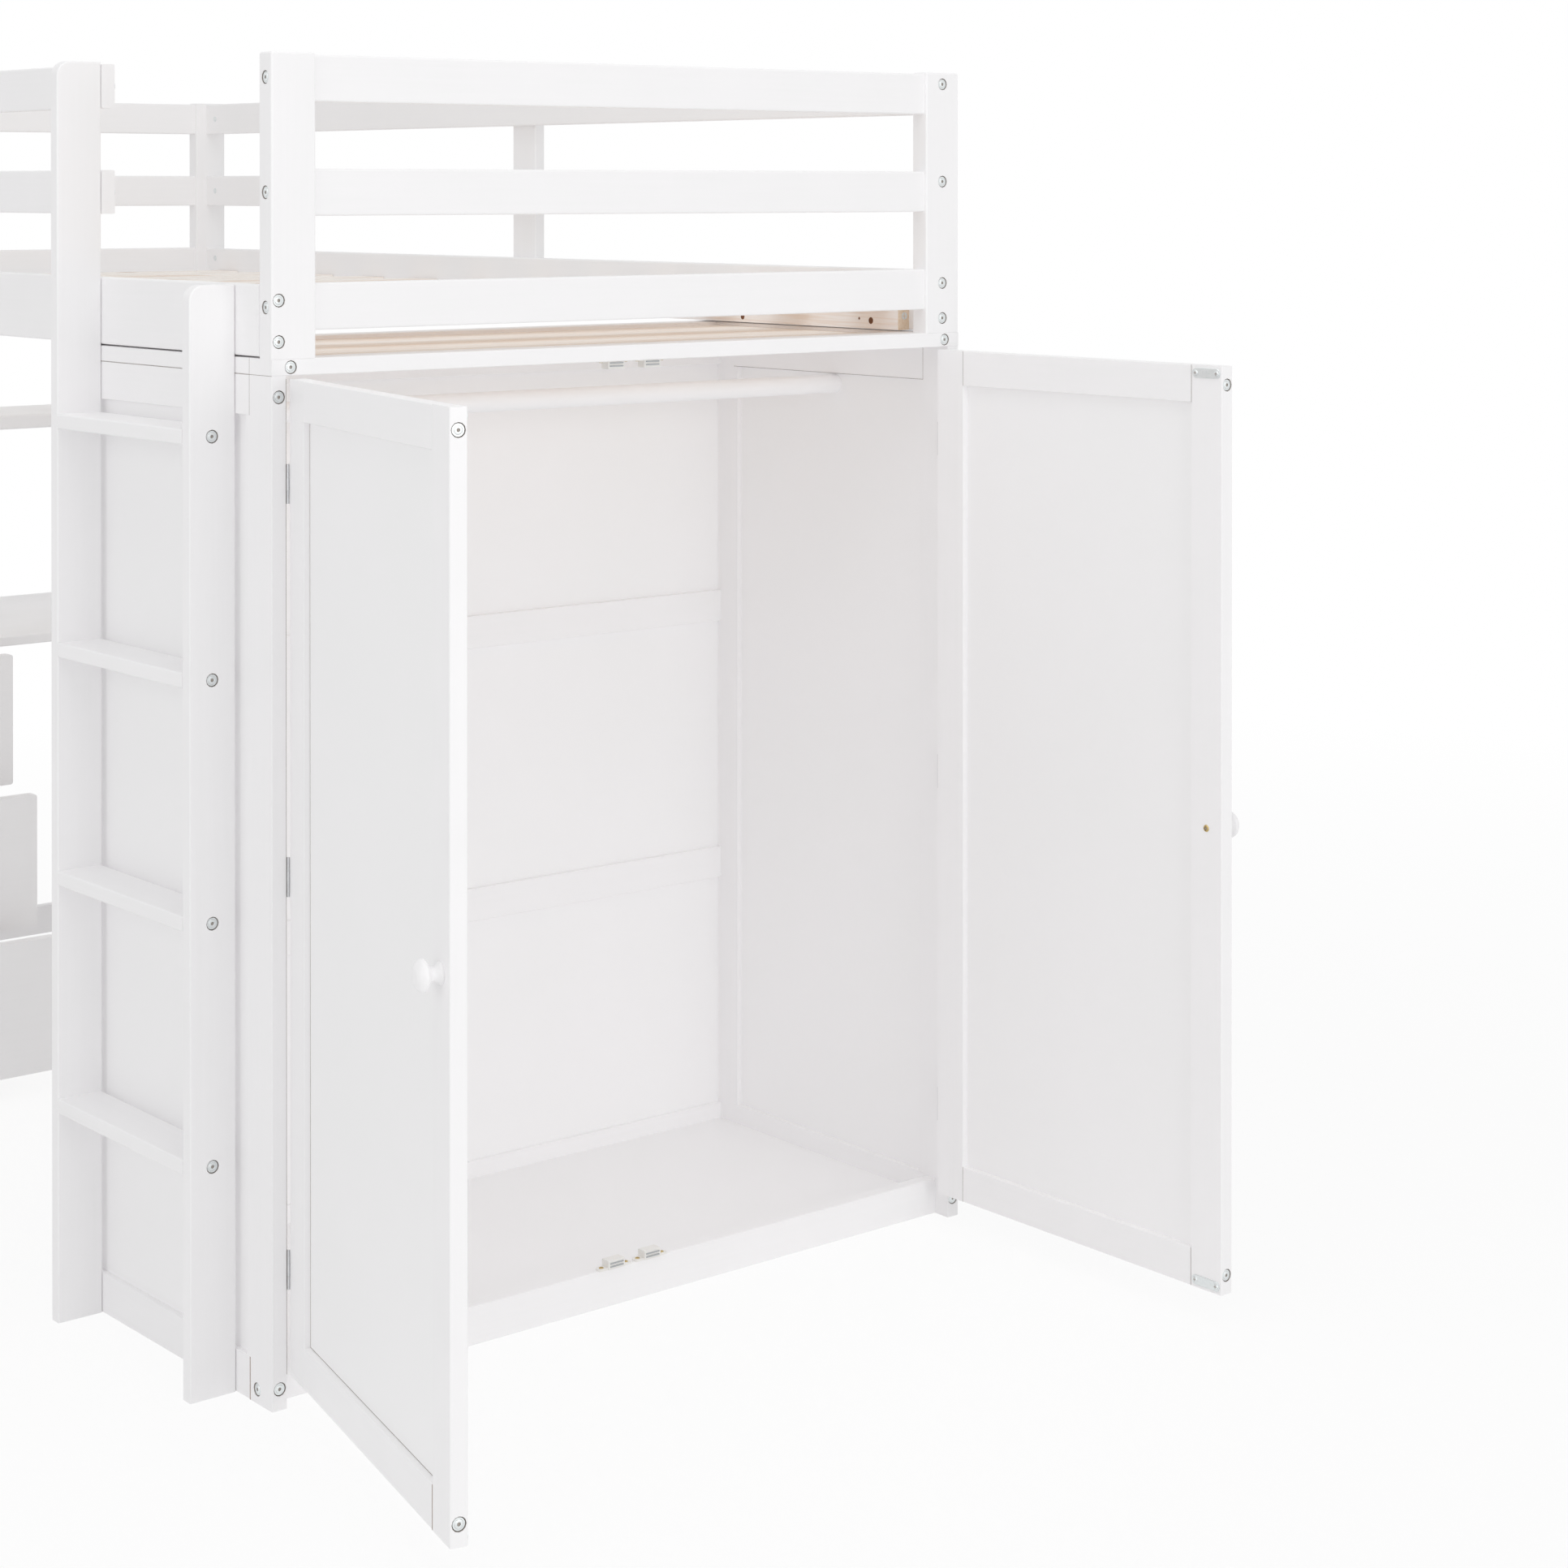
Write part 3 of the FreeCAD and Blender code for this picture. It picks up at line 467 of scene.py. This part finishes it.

# %% [markdown]
# The bed is held together by connector bolts. The head is a flat flange with a raised centre and a hexagon socket,
# and it sits in a round recess of the board. The socket is the only part that isn't round: its radius at an angle
# is the hexagon's half width divided by the cosine of the angle to the nearest flat. The CAD model already holds a
# plain head in each place, so its points are sorted into heads, and each head's box gives a place and a direction.
# The recess gets a thin greyish lining, which is bare wood with painted shade on it, and the socket a floor of the
# same colour, which is painted shade in the hollow. A thin head stands proud on its board and has no recess.

# %% Shape of a bolt head
def hexagon(half_width):
    """Radius of a hexagon at each angle: half width over the cosine of the angle from the nearest flat."""
    from_flat = (around + np.pi / 6) % (np.pi / 3) - np.pi / 6
    return half_width / np.cos(from_flat)


bolt_head = turned([
    (0.0, 0.0), (6.7, 0.0), (6.9, 0.2), (6.9, 1.7), (6.6, 2.0), (5.0, 2.1), (4.7, 2.6), (4.4, 2.8),
    (hexagon(2.0), 2.8), (hexagon(1.85), 2.6), (hexagon(1.8), 0.9), (0.0, 0.7),
])
# The socket floor is painted shade. The recess lining is bare wood with painted shade.
socket_floor = turned([(0.0, 0.95), (hexagon(1.75), 0.95), (hexagon(1.75), 1.7), (0.0, 1.7)])
recess_lining = turned([(6.7, 0.0), (7.7, 0.0), (7.7, 2.5), (7.55, 2.5), (7.55, 0.2), (6.7, 0.2), (6.7, 0.0)])
print("bolt head", bolt_head.shape)

# %% Places of the bolts
carrier_margin = 4.0 * MILLIMETRE
hardware = ("zinc_plated_steel", "white_plastic")
carriers = [np.array(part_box(name)) for name, slot in slot_of.items() if slot not in hardware]


def heads_of(node):
    """Boxes of a node's heads: points that edges join, one after another, take the lowest number among them."""
    mesh = frame["nodes"][node].data
    points = np.empty(3 * len(mesh.vertices))
    mesh.vertices.foreach_get("co", points)
    points, welded = np.unique(points.reshape(-1, 3).round(6), axis=0, return_inverse=True)
    ends = np.empty(2 * len(mesh.edges), int)
    mesh.edges.foreach_get("vertices", ends)
    ends = welded.ravel()[ends].reshape(-1, 2)
    head, before = np.arange(len(points)), None
    while not np.array_equal(head, before):
        before = head.copy()
        lowest = np.repeat(head[ends].min(axis=1), 2)
        np.minimum.at(head, ends.ravel(), lowest)
    return [np.array([points[head == own].min(axis=0), points[head == own].max(axis=0)]) for own in np.unique(head)]


def seat_of(head):
    """Place and direction of a head: it is shortest along its axis, and faces out of the board that holds it."""
    middle = head.mean(axis=0)
    axis = int(np.argmin(head[1] - head[0]))
    holding = [box for box in carriers
               if np.all(middle > box[0] - carrier_margin) and np.all(middle < box[1] + carrier_margin)]
    board = min(holding, key=lambda box: np.prod(box[1] - box[0]))
    outward = np.zeros(3)
    outward[axis] = np.sign(middle[axis] - board.mean(axis=0)[axis])
    return middle - outward * (head[1] - head[0])[axis] / 2, outward


proud_head = 2.5 * MILLIMETRE
bolt_boxes = heads_of("frame_bolts")
bolt_seats = [seat_of(head) for head in bolt_boxes]
bolts = build("connector_bolts", [stand(bolt_head, *seat) for seat in bolt_seats], zinc, "frame")
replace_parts(bolts, "frame_bolts")
recessed_seats = [seat for head, seat in zip(bolt_boxes, bolt_seats) if np.ptp(head, axis=0).min() > proud_head]
# Painted shade in the sockets, and bare wood with painted shade in the recesses.
dark_parts = [stand(socket_floor, *seat) for seat in bolt_seats]
dark_parts += [stand(recess_lining, *seat) for seat in recessed_seats]
build("bolt_recesses", dark_parts, recess_wood_and_painted_shade, "frame")
print("bolts", len(bolt_seats), "in recesses", len(recessed_seats))

# %% [markdown]
# The knobs are turned from beech and painted with the bed: a flared foot, a narrow neck and a mushroom head. Smooth
# curves suit a lathe, so the profile runs through a few chosen radii and a spline fills in between. Doors and
# drawers carry the same knob. A door is easiest to think of closed, so a helper takes places on the closed door and
# swings them about its hinge to where the door stands.

# %% Places on a swung door
front_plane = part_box("wardrobe_stiles")[1][0]
meeting_gap = 0.5 * MILLIMETRE


def swung(door, points):
    """Swings points of the closed door about its hinge's upright axis to where the door stands."""
    turn = math.radians(door_turn[door])
    spin = np.array([(math.cos(turn), math.sin(turn), 0), (-math.sin(turn), math.cos(turn), 0), (0, 0, 1)])
    axis = np.array(hinges[door]["pos_m"])
    return (np.asarray(points) - axis) @ spin + axis


def on_door(door, depth_mm, inset_mm, height):
    """Place on a closed door: depth behind its face, distance in from its free edge, and height in metres."""
    side = np.sign(hinges[door]["pos_m"][1])
    return np.array((front_plane - depth_mm * MILLIMETRE, side * (meeting_gap + inset_mm * MILLIMETRE), height))


print("door turns", door_turn)

# %% Turned knobs
knob_knots = np.array([(11.5, 0.0), (11.5, 2.0), (9.6, 4.2), (7.6, 8.0), (8.2, 11.5), (12.5, 15.2), (16.2, 17.6),
                       (17.0, 20.0), (15.9, 23.0), (12.6, 26.2), (7.4, 28.7), (0.0, 29.6)])
knob_reach = (17.0, 29.6)
knob_steps = 60
knob_inset = 25.0


def spline(knots, steps):
    """Catmull-Rom curve through points: each stretch is a cubic whose slopes come from the neighbours."""
    padded = np.concatenate([knots[:1], knots, knots[-1:]])
    place = np.linspace(0, len(knots) - 1, steps)
    start = np.minimum(place.astype(int), len(knots) - 2)
    part = (place - start)[:, None]
    before, here, there, after = (padded[start + shift] for shift in range(4))
    slope_here, slope_there = (there - before) / 2, (after - here) / 2
    return (here * (2 * part ** 3 - 3 * part ** 2 + 1) + slope_here * (part ** 3 - 2 * part ** 2 + part)
            + there * (3 * part ** 2 - 2 * part ** 3) + slope_there * (part ** 3 - part ** 2))


knob_profile = np.clip(spline(knob_knots, knob_steps), 0, knob_reach)
knob_shape = turned([(0.0, 0.0), *knob_profile])
knob_height = np.mean([corner[2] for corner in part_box("left_door_knob")])
for door in hinges:
    seat = stand(knob_shape, on_door(door, 0.0, knob_inset, knob_height), (1, 0, 0))
    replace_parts(build(door + "_turned_knob", [swung(door, seat)], paint["Z"], door),
                door + "_knob")
for drawer in ("top_drawer", "middle_drawer", "bottom_drawer"):
    low, high = np.array(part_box(drawer + "_knob"))
    seat = stand(knob_shape, (low[0], *((low + high) / 2)[1:]), (1, 0, 0))
    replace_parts(build(drawer + "_turned_knob", [seat], paint["X"], drawer),
                drawer + "_knob")

# %% [markdown]
# Each door carries its own fittings on its inner face and free edge: two bolts, the screw that holds the knob, and
# two strike plates for the magnetic catches. A plate is a flat bar with round ends, so its outline is a circle that
# is pulled apart in the middle. Its screws have a cross recess, which is the larger of two crossed rectangles at
# each angle.

# %% Shapes of the door fittings
plate_half_length = 22.5
plate_radius = 6.0
plate_thickness = 1.5
plate_ease = 0.4


def cross(arm, half_width):
    """Radius of a cross at each angle: the larger of two crossed rectangles."""
    run, rise = np.maximum(np.abs(np.cos(around)), 1e-6), np.maximum(np.abs(np.sin(around)), 1e-6)
    return np.maximum(np.minimum(arm / run, half_width / rise), np.minimum(half_width / run, arm / rise))


def pulled_apart(grid, half_mm):
    """Moves the two halves of each ring apart along X, which turns circles into bars with round ends."""
    ends = np.where(np.cos(around) >= 0, half_mm, -half_mm) * MILLIMETRE
    moved = grid.copy()
    moved[..., 0] += ends
    return moved


round_plate = turned([
    (0.0, 0.0), (plate_radius, 0.0), (plate_radius, plate_thickness - plate_ease),
    (plate_radius - plate_ease, plate_thickness), (0.0, plate_thickness),
])
plate_shape = pulled_apart(round_plate, plate_half_length - plate_radius)
screw_shape = turned([(0.0, 0.0), (3.9, 0.0), (3.7, 0.5), (2.9, 0.9), (cross(2.3, 0.55), 1.0),
                      (cross(2.0, 0.4), 0.3), (0.0, 0.2)])
knob_screw_shape = turned([(0.0, 0.0), (4.4, 0.0), (4.2, 0.5), (3.5, 1.1), (cross(2.7, 0.8), 1.3),
                           (cross(2.5, 0.7), 0.4), (0.0, 0.3)])
# A darker floor in each cross recess is painted shade.
cross_floor = turned([(0.0, 0.35), (cross(2.2, 0.6), 0.35), (cross(2.2, 0.6), 0.7), (0.0, 0.7)])
print("plate", plate_shape.shape, "screw", screw_shape.shape)

# %% Fittings on both doors
door_low, door_high = (corner[2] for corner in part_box("left_door_stiles"))
board_thickness = 19.0
plate_edge = 9.5
plate_screw_reach = 17.0
door_bolt_edge = 23.0
recess_depth = 3.0
outside, inside = (1, 0, 0), (-1, 0, 0)


def from_both_ends(edge_mm):
    """Heights on a door at a distance from its lower and from its upper end."""
    return door_low + edge_mm * MILLIMETRE, door_high - edge_mm * MILLIMETRE


for door in hinges:
    free_edge = (0, -np.sign(hinges[door]["pos_m"][1]), 0)
    plates, darks = [], []
    for height in from_both_ends(plate_edge):
        seat = on_door(door, board_thickness, knob_inset, height)
        plates.append(stand(plate_shape, seat, inside))
        for reach in (-plate_screw_reach, plate_screw_reach):
            place = seat + np.array((-plate_thickness, reach, 0)) * MILLIMETRE
            plates.append(stand(screw_shape, place, inside))
            darks.append(stand(cross_floor, place, inside))
    for height in from_both_ends(door_bolt_edge):
        seat = on_door(door, board_thickness / 2, recess_depth, height)
        plates.append(stand(bolt_head, seat, free_edge))
        darks += [stand(shape, seat, free_edge) for shape in (recess_lining, socket_floor)]
    knob_seat = on_door(door, board_thickness, knob_inset, knob_height)
    darks.append(stand(cross_floor, knob_seat, inside))
    knob_screw = stand(knob_screw_shape, knob_seat, inside)
    fittings = build(door + "_plates_and_bolts", [swung(door, grid) for grid in plates], zinc, door)
    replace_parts(fittings, door + "_fittings")
    build(door + "_knob_screw", [swung(door, knob_screw)], yellow_zinc, door)
    # Painted shade in the cross recesses and sockets, and bare wood with painted shade in the bolts' recesses.
    build(door + "_recesses", [swung(door, grid) for grid in darks], recess_wood_and_painted_shade, door)

# %% [markdown]
# The white magnetic catches on the toe board and under the top frame are screwed down through their ears, with
# small yellow screws. The catches themselves are CAD solids with the right shape, so only the screws are added.

# %% Catch screws
catch_low, catch_high = np.array(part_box("magnetic_catches"))
catch_offset = 28.0
ear_offset = 18.75
ear_thickness = 2.5
small_screw_size = 0.8
small_screw = screw_shape * small_screw_size
catch_middle_x = (catch_low[0] + catch_high[0]) / 2
catch_screws = []
for seat_height, up in ((catch_low[2], 1), (catch_high[2], -1)):
    for offset in (-catch_offset - ear_offset, -catch_offset + ear_offset,
                   catch_offset - ear_offset, catch_offset + ear_offset):
        place = (catch_middle_x, offset * MILLIMETRE, seat_height + up * ear_thickness * MILLIMETRE)
        catch_screws.append(stand(small_screw, place, (0, 0, up)))
build("catch_screws", catch_screws, yellow_zinc, "frame")

# %% [markdown]
# A connector bolt pulls against a barrel nut, a steel cylinder that crosses the rail near its end. The nut's own end,
# with a cross recess for a screwdriver, lies flush in the rail's inner face. Rails along the bed have one near each
# end, so the rails' boxes give the places. One more shows in the sawn end of the rear batten.

# %% Barrel nuts
nut_inset = 32.0
bed_rail_nut_rise = 23.5
batten_nut_inset = 8.5
batten_nut_rise = 19.0
nut_shape = turned([(0.0, 0.0), (4.8, 0.0), (5.0, 0.15), (4.8, 0.35), (cross(4.0, 0.6), 0.4),
                    (cross(3.8, 0.5), 0.1), (0.0, 0.05)])
rail_half_height = 27.0 * MILLIMETRE
nut_seats = []


def add_nuts(low, high, heights, outward_y):
    """Adds nuts near both ends of a box, at the given heights, on the face that looks into the bed."""
    face_y = (low if outward_y < 0 else high)[1]
    for end in (low[0] + nut_inset * MILLIMETRE, high[0] - nut_inset * MILLIMETRE):
        nut_seats.extend(((end, face_y, height), (0, outward_y, 0)) for height in heights)


for node, outward_y in (("guard_rails_back", -1), ("guard_rails_front", 1)):
    low, high = np.array(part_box(node))
    add_nuts(low, high, (low[2] + rail_half_height, high[2] - rail_half_height), outward_y)
for node, outward_y in (("bed_rail_back", -1), ("bed_rail_front", 1)):
    low, high = np.array(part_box(node))
    add_nuts(low, high, ((low[2] + high[2]) / 2 + bed_rail_nut_rise * MILLIMETRE,), outward_y)
batten_low, batten_high = np.array(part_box("slat_battens"))
batten_nut = (batten_high[0], batten_high[1] - batten_nut_inset * MILLIMETRE,
              batten_low[2] + batten_nut_rise * MILLIMETRE)
nut_seats.append((batten_nut, (1, 0, 0)))
build("barrel_nuts", [stand(nut_shape, *seat) for seat in nut_seats], zinc, "frame")

# %% [markdown]
# Wood moves, and paint does not: a few joints have opened since the bed was sprayed. Wide ones show brown wood, and
# fine ones a grey hairline. The same grey sliver along the wardrobe's front edge, beside the left door's hinge, is
# painted shade: the dark line of the narrow gap there. Such a line could be painted into the finish, but a thin
# sliver on the board's face is easier to place. It has four corners, half the width to each side and a tenth of a
# millimetre high, and runs from one end of the seam to the other. The same sliver, as wide as the board, is the sawn
# end of a batten, and small flat discs are its knots.

# %% Open seams, joint lines and a line of painted shade on the frame
sliver_rise = 0.1 * MILLIMETRE
seam_width = 1.4
hairline = 0.5
joint_inset = 50.0 * MILLIMETRE
side_top_rail = 46.5 * MILLIMETRE
side_bottom_rail = 49.0 * MILLIMETRE


def sliver(start, end, outward, width_mm):
    """Thin bar: four corners, half the width to each side of a line and up to the rise, carried along the line."""
    start, end, outward = (np.array(point, float) for point in (start, end, outward))
    across = np.cross(outward, (end - start) / np.linalg.norm(end - start)) * width_mm * MILLIMETRE / 2
    rise = outward * sliver_rise
    ring = np.array([across, across + rise, rise - across, -across])
    middle = np.broadcast_to(rise / 2, ring.shape)
    return np.stack([start + middle, start + ring, end + ring, end + middle])


(stiles_rear, _, _), (_, side_face, side_top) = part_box("wardrobe_stiles")
(frame_rear, _, _), (_, _, frame_top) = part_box("top_cross_rails")
inner_face = side_face - board_thickness * MILLIMETRE
joint_x = front_plane - joint_inset
rear_joint_x = stiles_rear + joint_inset
rail_foot = side_top - side_top_rail
arris_y = -inner_face - hairline * MILLIMETRE
to_ladder = (0, -1, 0)
frame_seams = [sliver((joint_x, -side_face, 0.0), (joint_x, -side_face, side_bottom_rail), to_ladder, seam_width)]
frame_joint_lines_and_painted_shade = [
    # Painted shade: a dark line on the front edge, in the gap beside the left door's hinge.
    sliver((front_plane, arris_y, door_low), (front_plane, arris_y, door_high), outside, hairline),
    sliver((joint_x, inner_face, rail_foot), (joint_x, inner_face, side_top), to_ladder, hairline),
    sliver((rear_joint_x, inner_face, rail_foot), (joint_x, inner_face, rail_foot), to_ladder, hairline),
    sliver((joint_x, -side_face, rail_foot), (joint_x, -side_face, frame_top), to_ladder, hairline),
    sliver((frame_rear, -side_face, side_top), (front_plane, -side_face, side_top), to_ladder, hairline),
]
build("frame_open_seams", frame_seams, seam_wood, "frame")
build("frame_joint_lines_and_painted_shade", frame_joint_lines_and_painted_shade, joint_line_and_painted_shade_wood, "frame")

# %% Sawn ends and knots of the battens
batten_width = 20.0
half_width = batten_width * MILLIMETRE / 2
batten_ends = [sliver((batten_high[0], y, batten_low[2]), (batten_high[0], y, batten_high[2]), outside, batten_width)
               for y in (batten_low[1] + half_width, batten_high[1] - half_width)]
build("batten_end_grain", batten_ends, end_grain, "frame")
knot_shape = turned([(0.0, 0.0), (4.2, 0.0), (4.0, 0.1), (0.0, 0.1)])
batten_face = batten_high[1] - batten_width * MILLIMETRE
knot_places = ((-0.3558, 1.2014, 1.0), (-0.0779, 1.2047, 1.1), (-0.102, 1.207, 0.45))
knots = [stand(knot_shape * (size, size, 1), (x, batten_face, z), to_ladder) for x, z, size in knot_places]
build("batten_knots", knots, knot_wood, "frame")

# %% [markdown]
# The left door's outer face has an open seam: the bottom rail has drawn back from the free stile. Along the panel's
# edge at the hinge stile and at the bottom rail, where the panel enters their grooves, a dark line is painted
# shade. On the right door's inner face, fine lines show where the rails meet the stiles.

# %% Open seams, joint lines and lines of painted shade on the doors
door_rail_height = 46.0 * MILLIMETRE
door_stile_width = 50.0
door_width = 507.5
panel_depth = 7.5
panel_line = 0.6


def door_seam(door, outward, depth_mm, start, end, width_mm):
    """Sliver on a door between two places, each an inset and a height, swung to where the door stands."""
    return swung(door, sliver(on_door(door, depth_mm, *start), on_door(door, depth_mm, *end), outward, width_mm))


rail_top = door_low + door_rail_height
hinge_stile_inset = door_width - door_stile_width
top_rail_foot = door_high - door_rail_height
groove_inset = hinge_stile_inset - panel_line / 2
panel_foot = rail_top + panel_line / 2 * MILLIMETRE
left_seam = door_seam("left_door", outside, 0.0, (door_stile_width, door_low), (door_stile_width, rail_top), seam_width)
# Painted shade along the panel's edges, where it enters the grooves.
left_painted_shade_lines = [
    door_seam("left_door", outside, panel_depth, (groove_inset, rail_top), (groove_inset, top_rail_foot), panel_line),
    door_seam("left_door", outside, panel_depth, (door_stile_width, panel_foot),
              (hinge_stile_inset, panel_foot), panel_line),
]
right_hairlines = [
    door_seam("right_door", inside, board_thickness, (inset, low), (inset, low + door_rail_height), hairline)
    for inset in (door_stile_width, hinge_stile_inset) for low in (door_low, top_rail_foot)
]
build("left_door_open_seam", [left_seam], seam_wood, "left_door")
build("left_door_painted_shade_lines", left_painted_shade_lines, joint_line_and_painted_shade_wood, "left_door")
build("right_door_hairlines", right_hairlines, joint_line_and_painted_shade_wood, "right_door")

# %% [markdown]
# A studio for white furniture is mostly white itself: large soft lamps, a pale floor and a pale surround. The main
# lamp stands far off the foot end and shines straight into the open wardrobe. A weaker one stands at the ladder's
# side and one hangs above. The camera sees the surround at full white, while the light it sends to the bed is weaker,
# so that white paint keeps its edges. Inside a white wardrobe, light goes from wall to wall many times, so the
# renderer follows more bounces than usual.

# %% Pale surround
surround_light = 0.67


def seen_directly(tree):
    """One for rays that show the background itself, in the picture or in metal, and zero for light on the bed."""
    path = add(tree, "LightPath").outputs
    mirrored = add(tree, "Math", {0: path["Is Glossy Ray"], 1: path["Is Transmission Ray"]}, operation="MAXIMUM")
    return add(tree, "Math", {0: path["Is Camera Ray"], 1: mirrored.outputs[0]}, operation="MAXIMUM").outputs[0]


world = bpy.data.worlds.new("pale_surround")
scene.world = world
world.use_nodes = True
tree = world.node_tree
tree.nodes.clear()
dim = add(tree, "Background", {"Color": (1, 1, 1, 1), "Strength": surround_light})
full = add(tree, "Background", {"Color": (1, 1, 1, 1), "Strength": 1.0})
either = add(tree, "MixShader", {0: seen_directly(tree), 1: dim.outputs[0], 2: full.outputs[0]})
add(tree, "OutputWorld", {"Surface": either.outputs[0]})
print("surround", surround_light)

# %% Pale floor
floor_reach = 40.0
floor_white = "#F6F6F6"
floor_glow = 0.88
fade_start = 1.5
fade_end = 4.5

corners = np.array([(-1, -1, 0), (1, -1, 0), (1, 1, 0), (-1, 1, 0)]) * floor_reach
floor_mesh = bpy.data.meshes.new("studio_floor")
floor_mesh.from_pydata(corners.tolist(), [], [(0, 1, 2, 3)])
floor = bpy.data.objects.new("studio_floor", floor_mesh)
scene.collection.objects.link(floor)
floor_material, tree, shader, place = new_material("pale_studio_floor")
tree.nodes.remove(shader)
distance = add(tree, "VectorMath", {0: place}, operation="LENGTH").outputs["Value"]
fade = add(tree, "MapRange", {"Value": distance, "From Min": fade_start, "From Max": fade_end,
                              "To Min": floor_glow, "To Max": 1.0})
share = add(tree, "Math", {0: fade.outputs[0], 1: seen_directly(tree)}, operation="MULTIPLY")
matt = add(tree, "BsdfDiffuse", {"Color": linear(floor_white)})
glow = add(tree, "Emission", {"Color": (1, 1, 1, 1), "Strength": 1.0})
mixed = add(tree, "MixShader", {0: share.outputs[0], 1: matt.outputs[0], 2: glow.outputs[0]})
tree.links.new(mixed.outputs[0], tree.nodes["Material Output"].inputs["Surface"])
floor_mesh.materials.append(floor_material)
print("floor", floor_reach)


# %% Soft lamps
def soft_lamp(name, place, aim, size, power):
    """Square area lamp that looks from a place to an aim."""
    light = bpy.data.lights.new(name, "AREA")
    light.size = size
    light.energy = power
    lamp = bpy.data.objects.new(name, light)
    lamp.location = place
    across, ahead, up = np.array(aim) - np.array(place)
    lamp.rotation_euler = (math.atan2(math.hypot(across, ahead), -up), 0, math.atan2(ahead, across) - math.pi / 2)
    scene.collection.objects.link(lamp)
    return lamp


lamps = [
    soft_lamp("side_softbox", (1.0, -4.8, 2.0), (-0.3, 0.0, 0.7), 3.0, 24.0),
    soft_lamp("foot_softbox", (6.2, -0.3, 1.4), (-0.3, 0.0, 0.6), 2.4, 60.0),
    soft_lamp("overhead_softbox", (1.0, -0.6, 4.2), (-0.2, 0.0, 0.3), 3.0, 25.0),
]
wardrobe_bounces = 12
scene.view_settings.view_transform = "Standard"
scene.cycles.diffuse_bounces = wardrobe_bounces
print("lamps", [(lamp.name, lamp.data.energy) for lamp in lamps])

# %% [markdown]

# %% Finish
import json
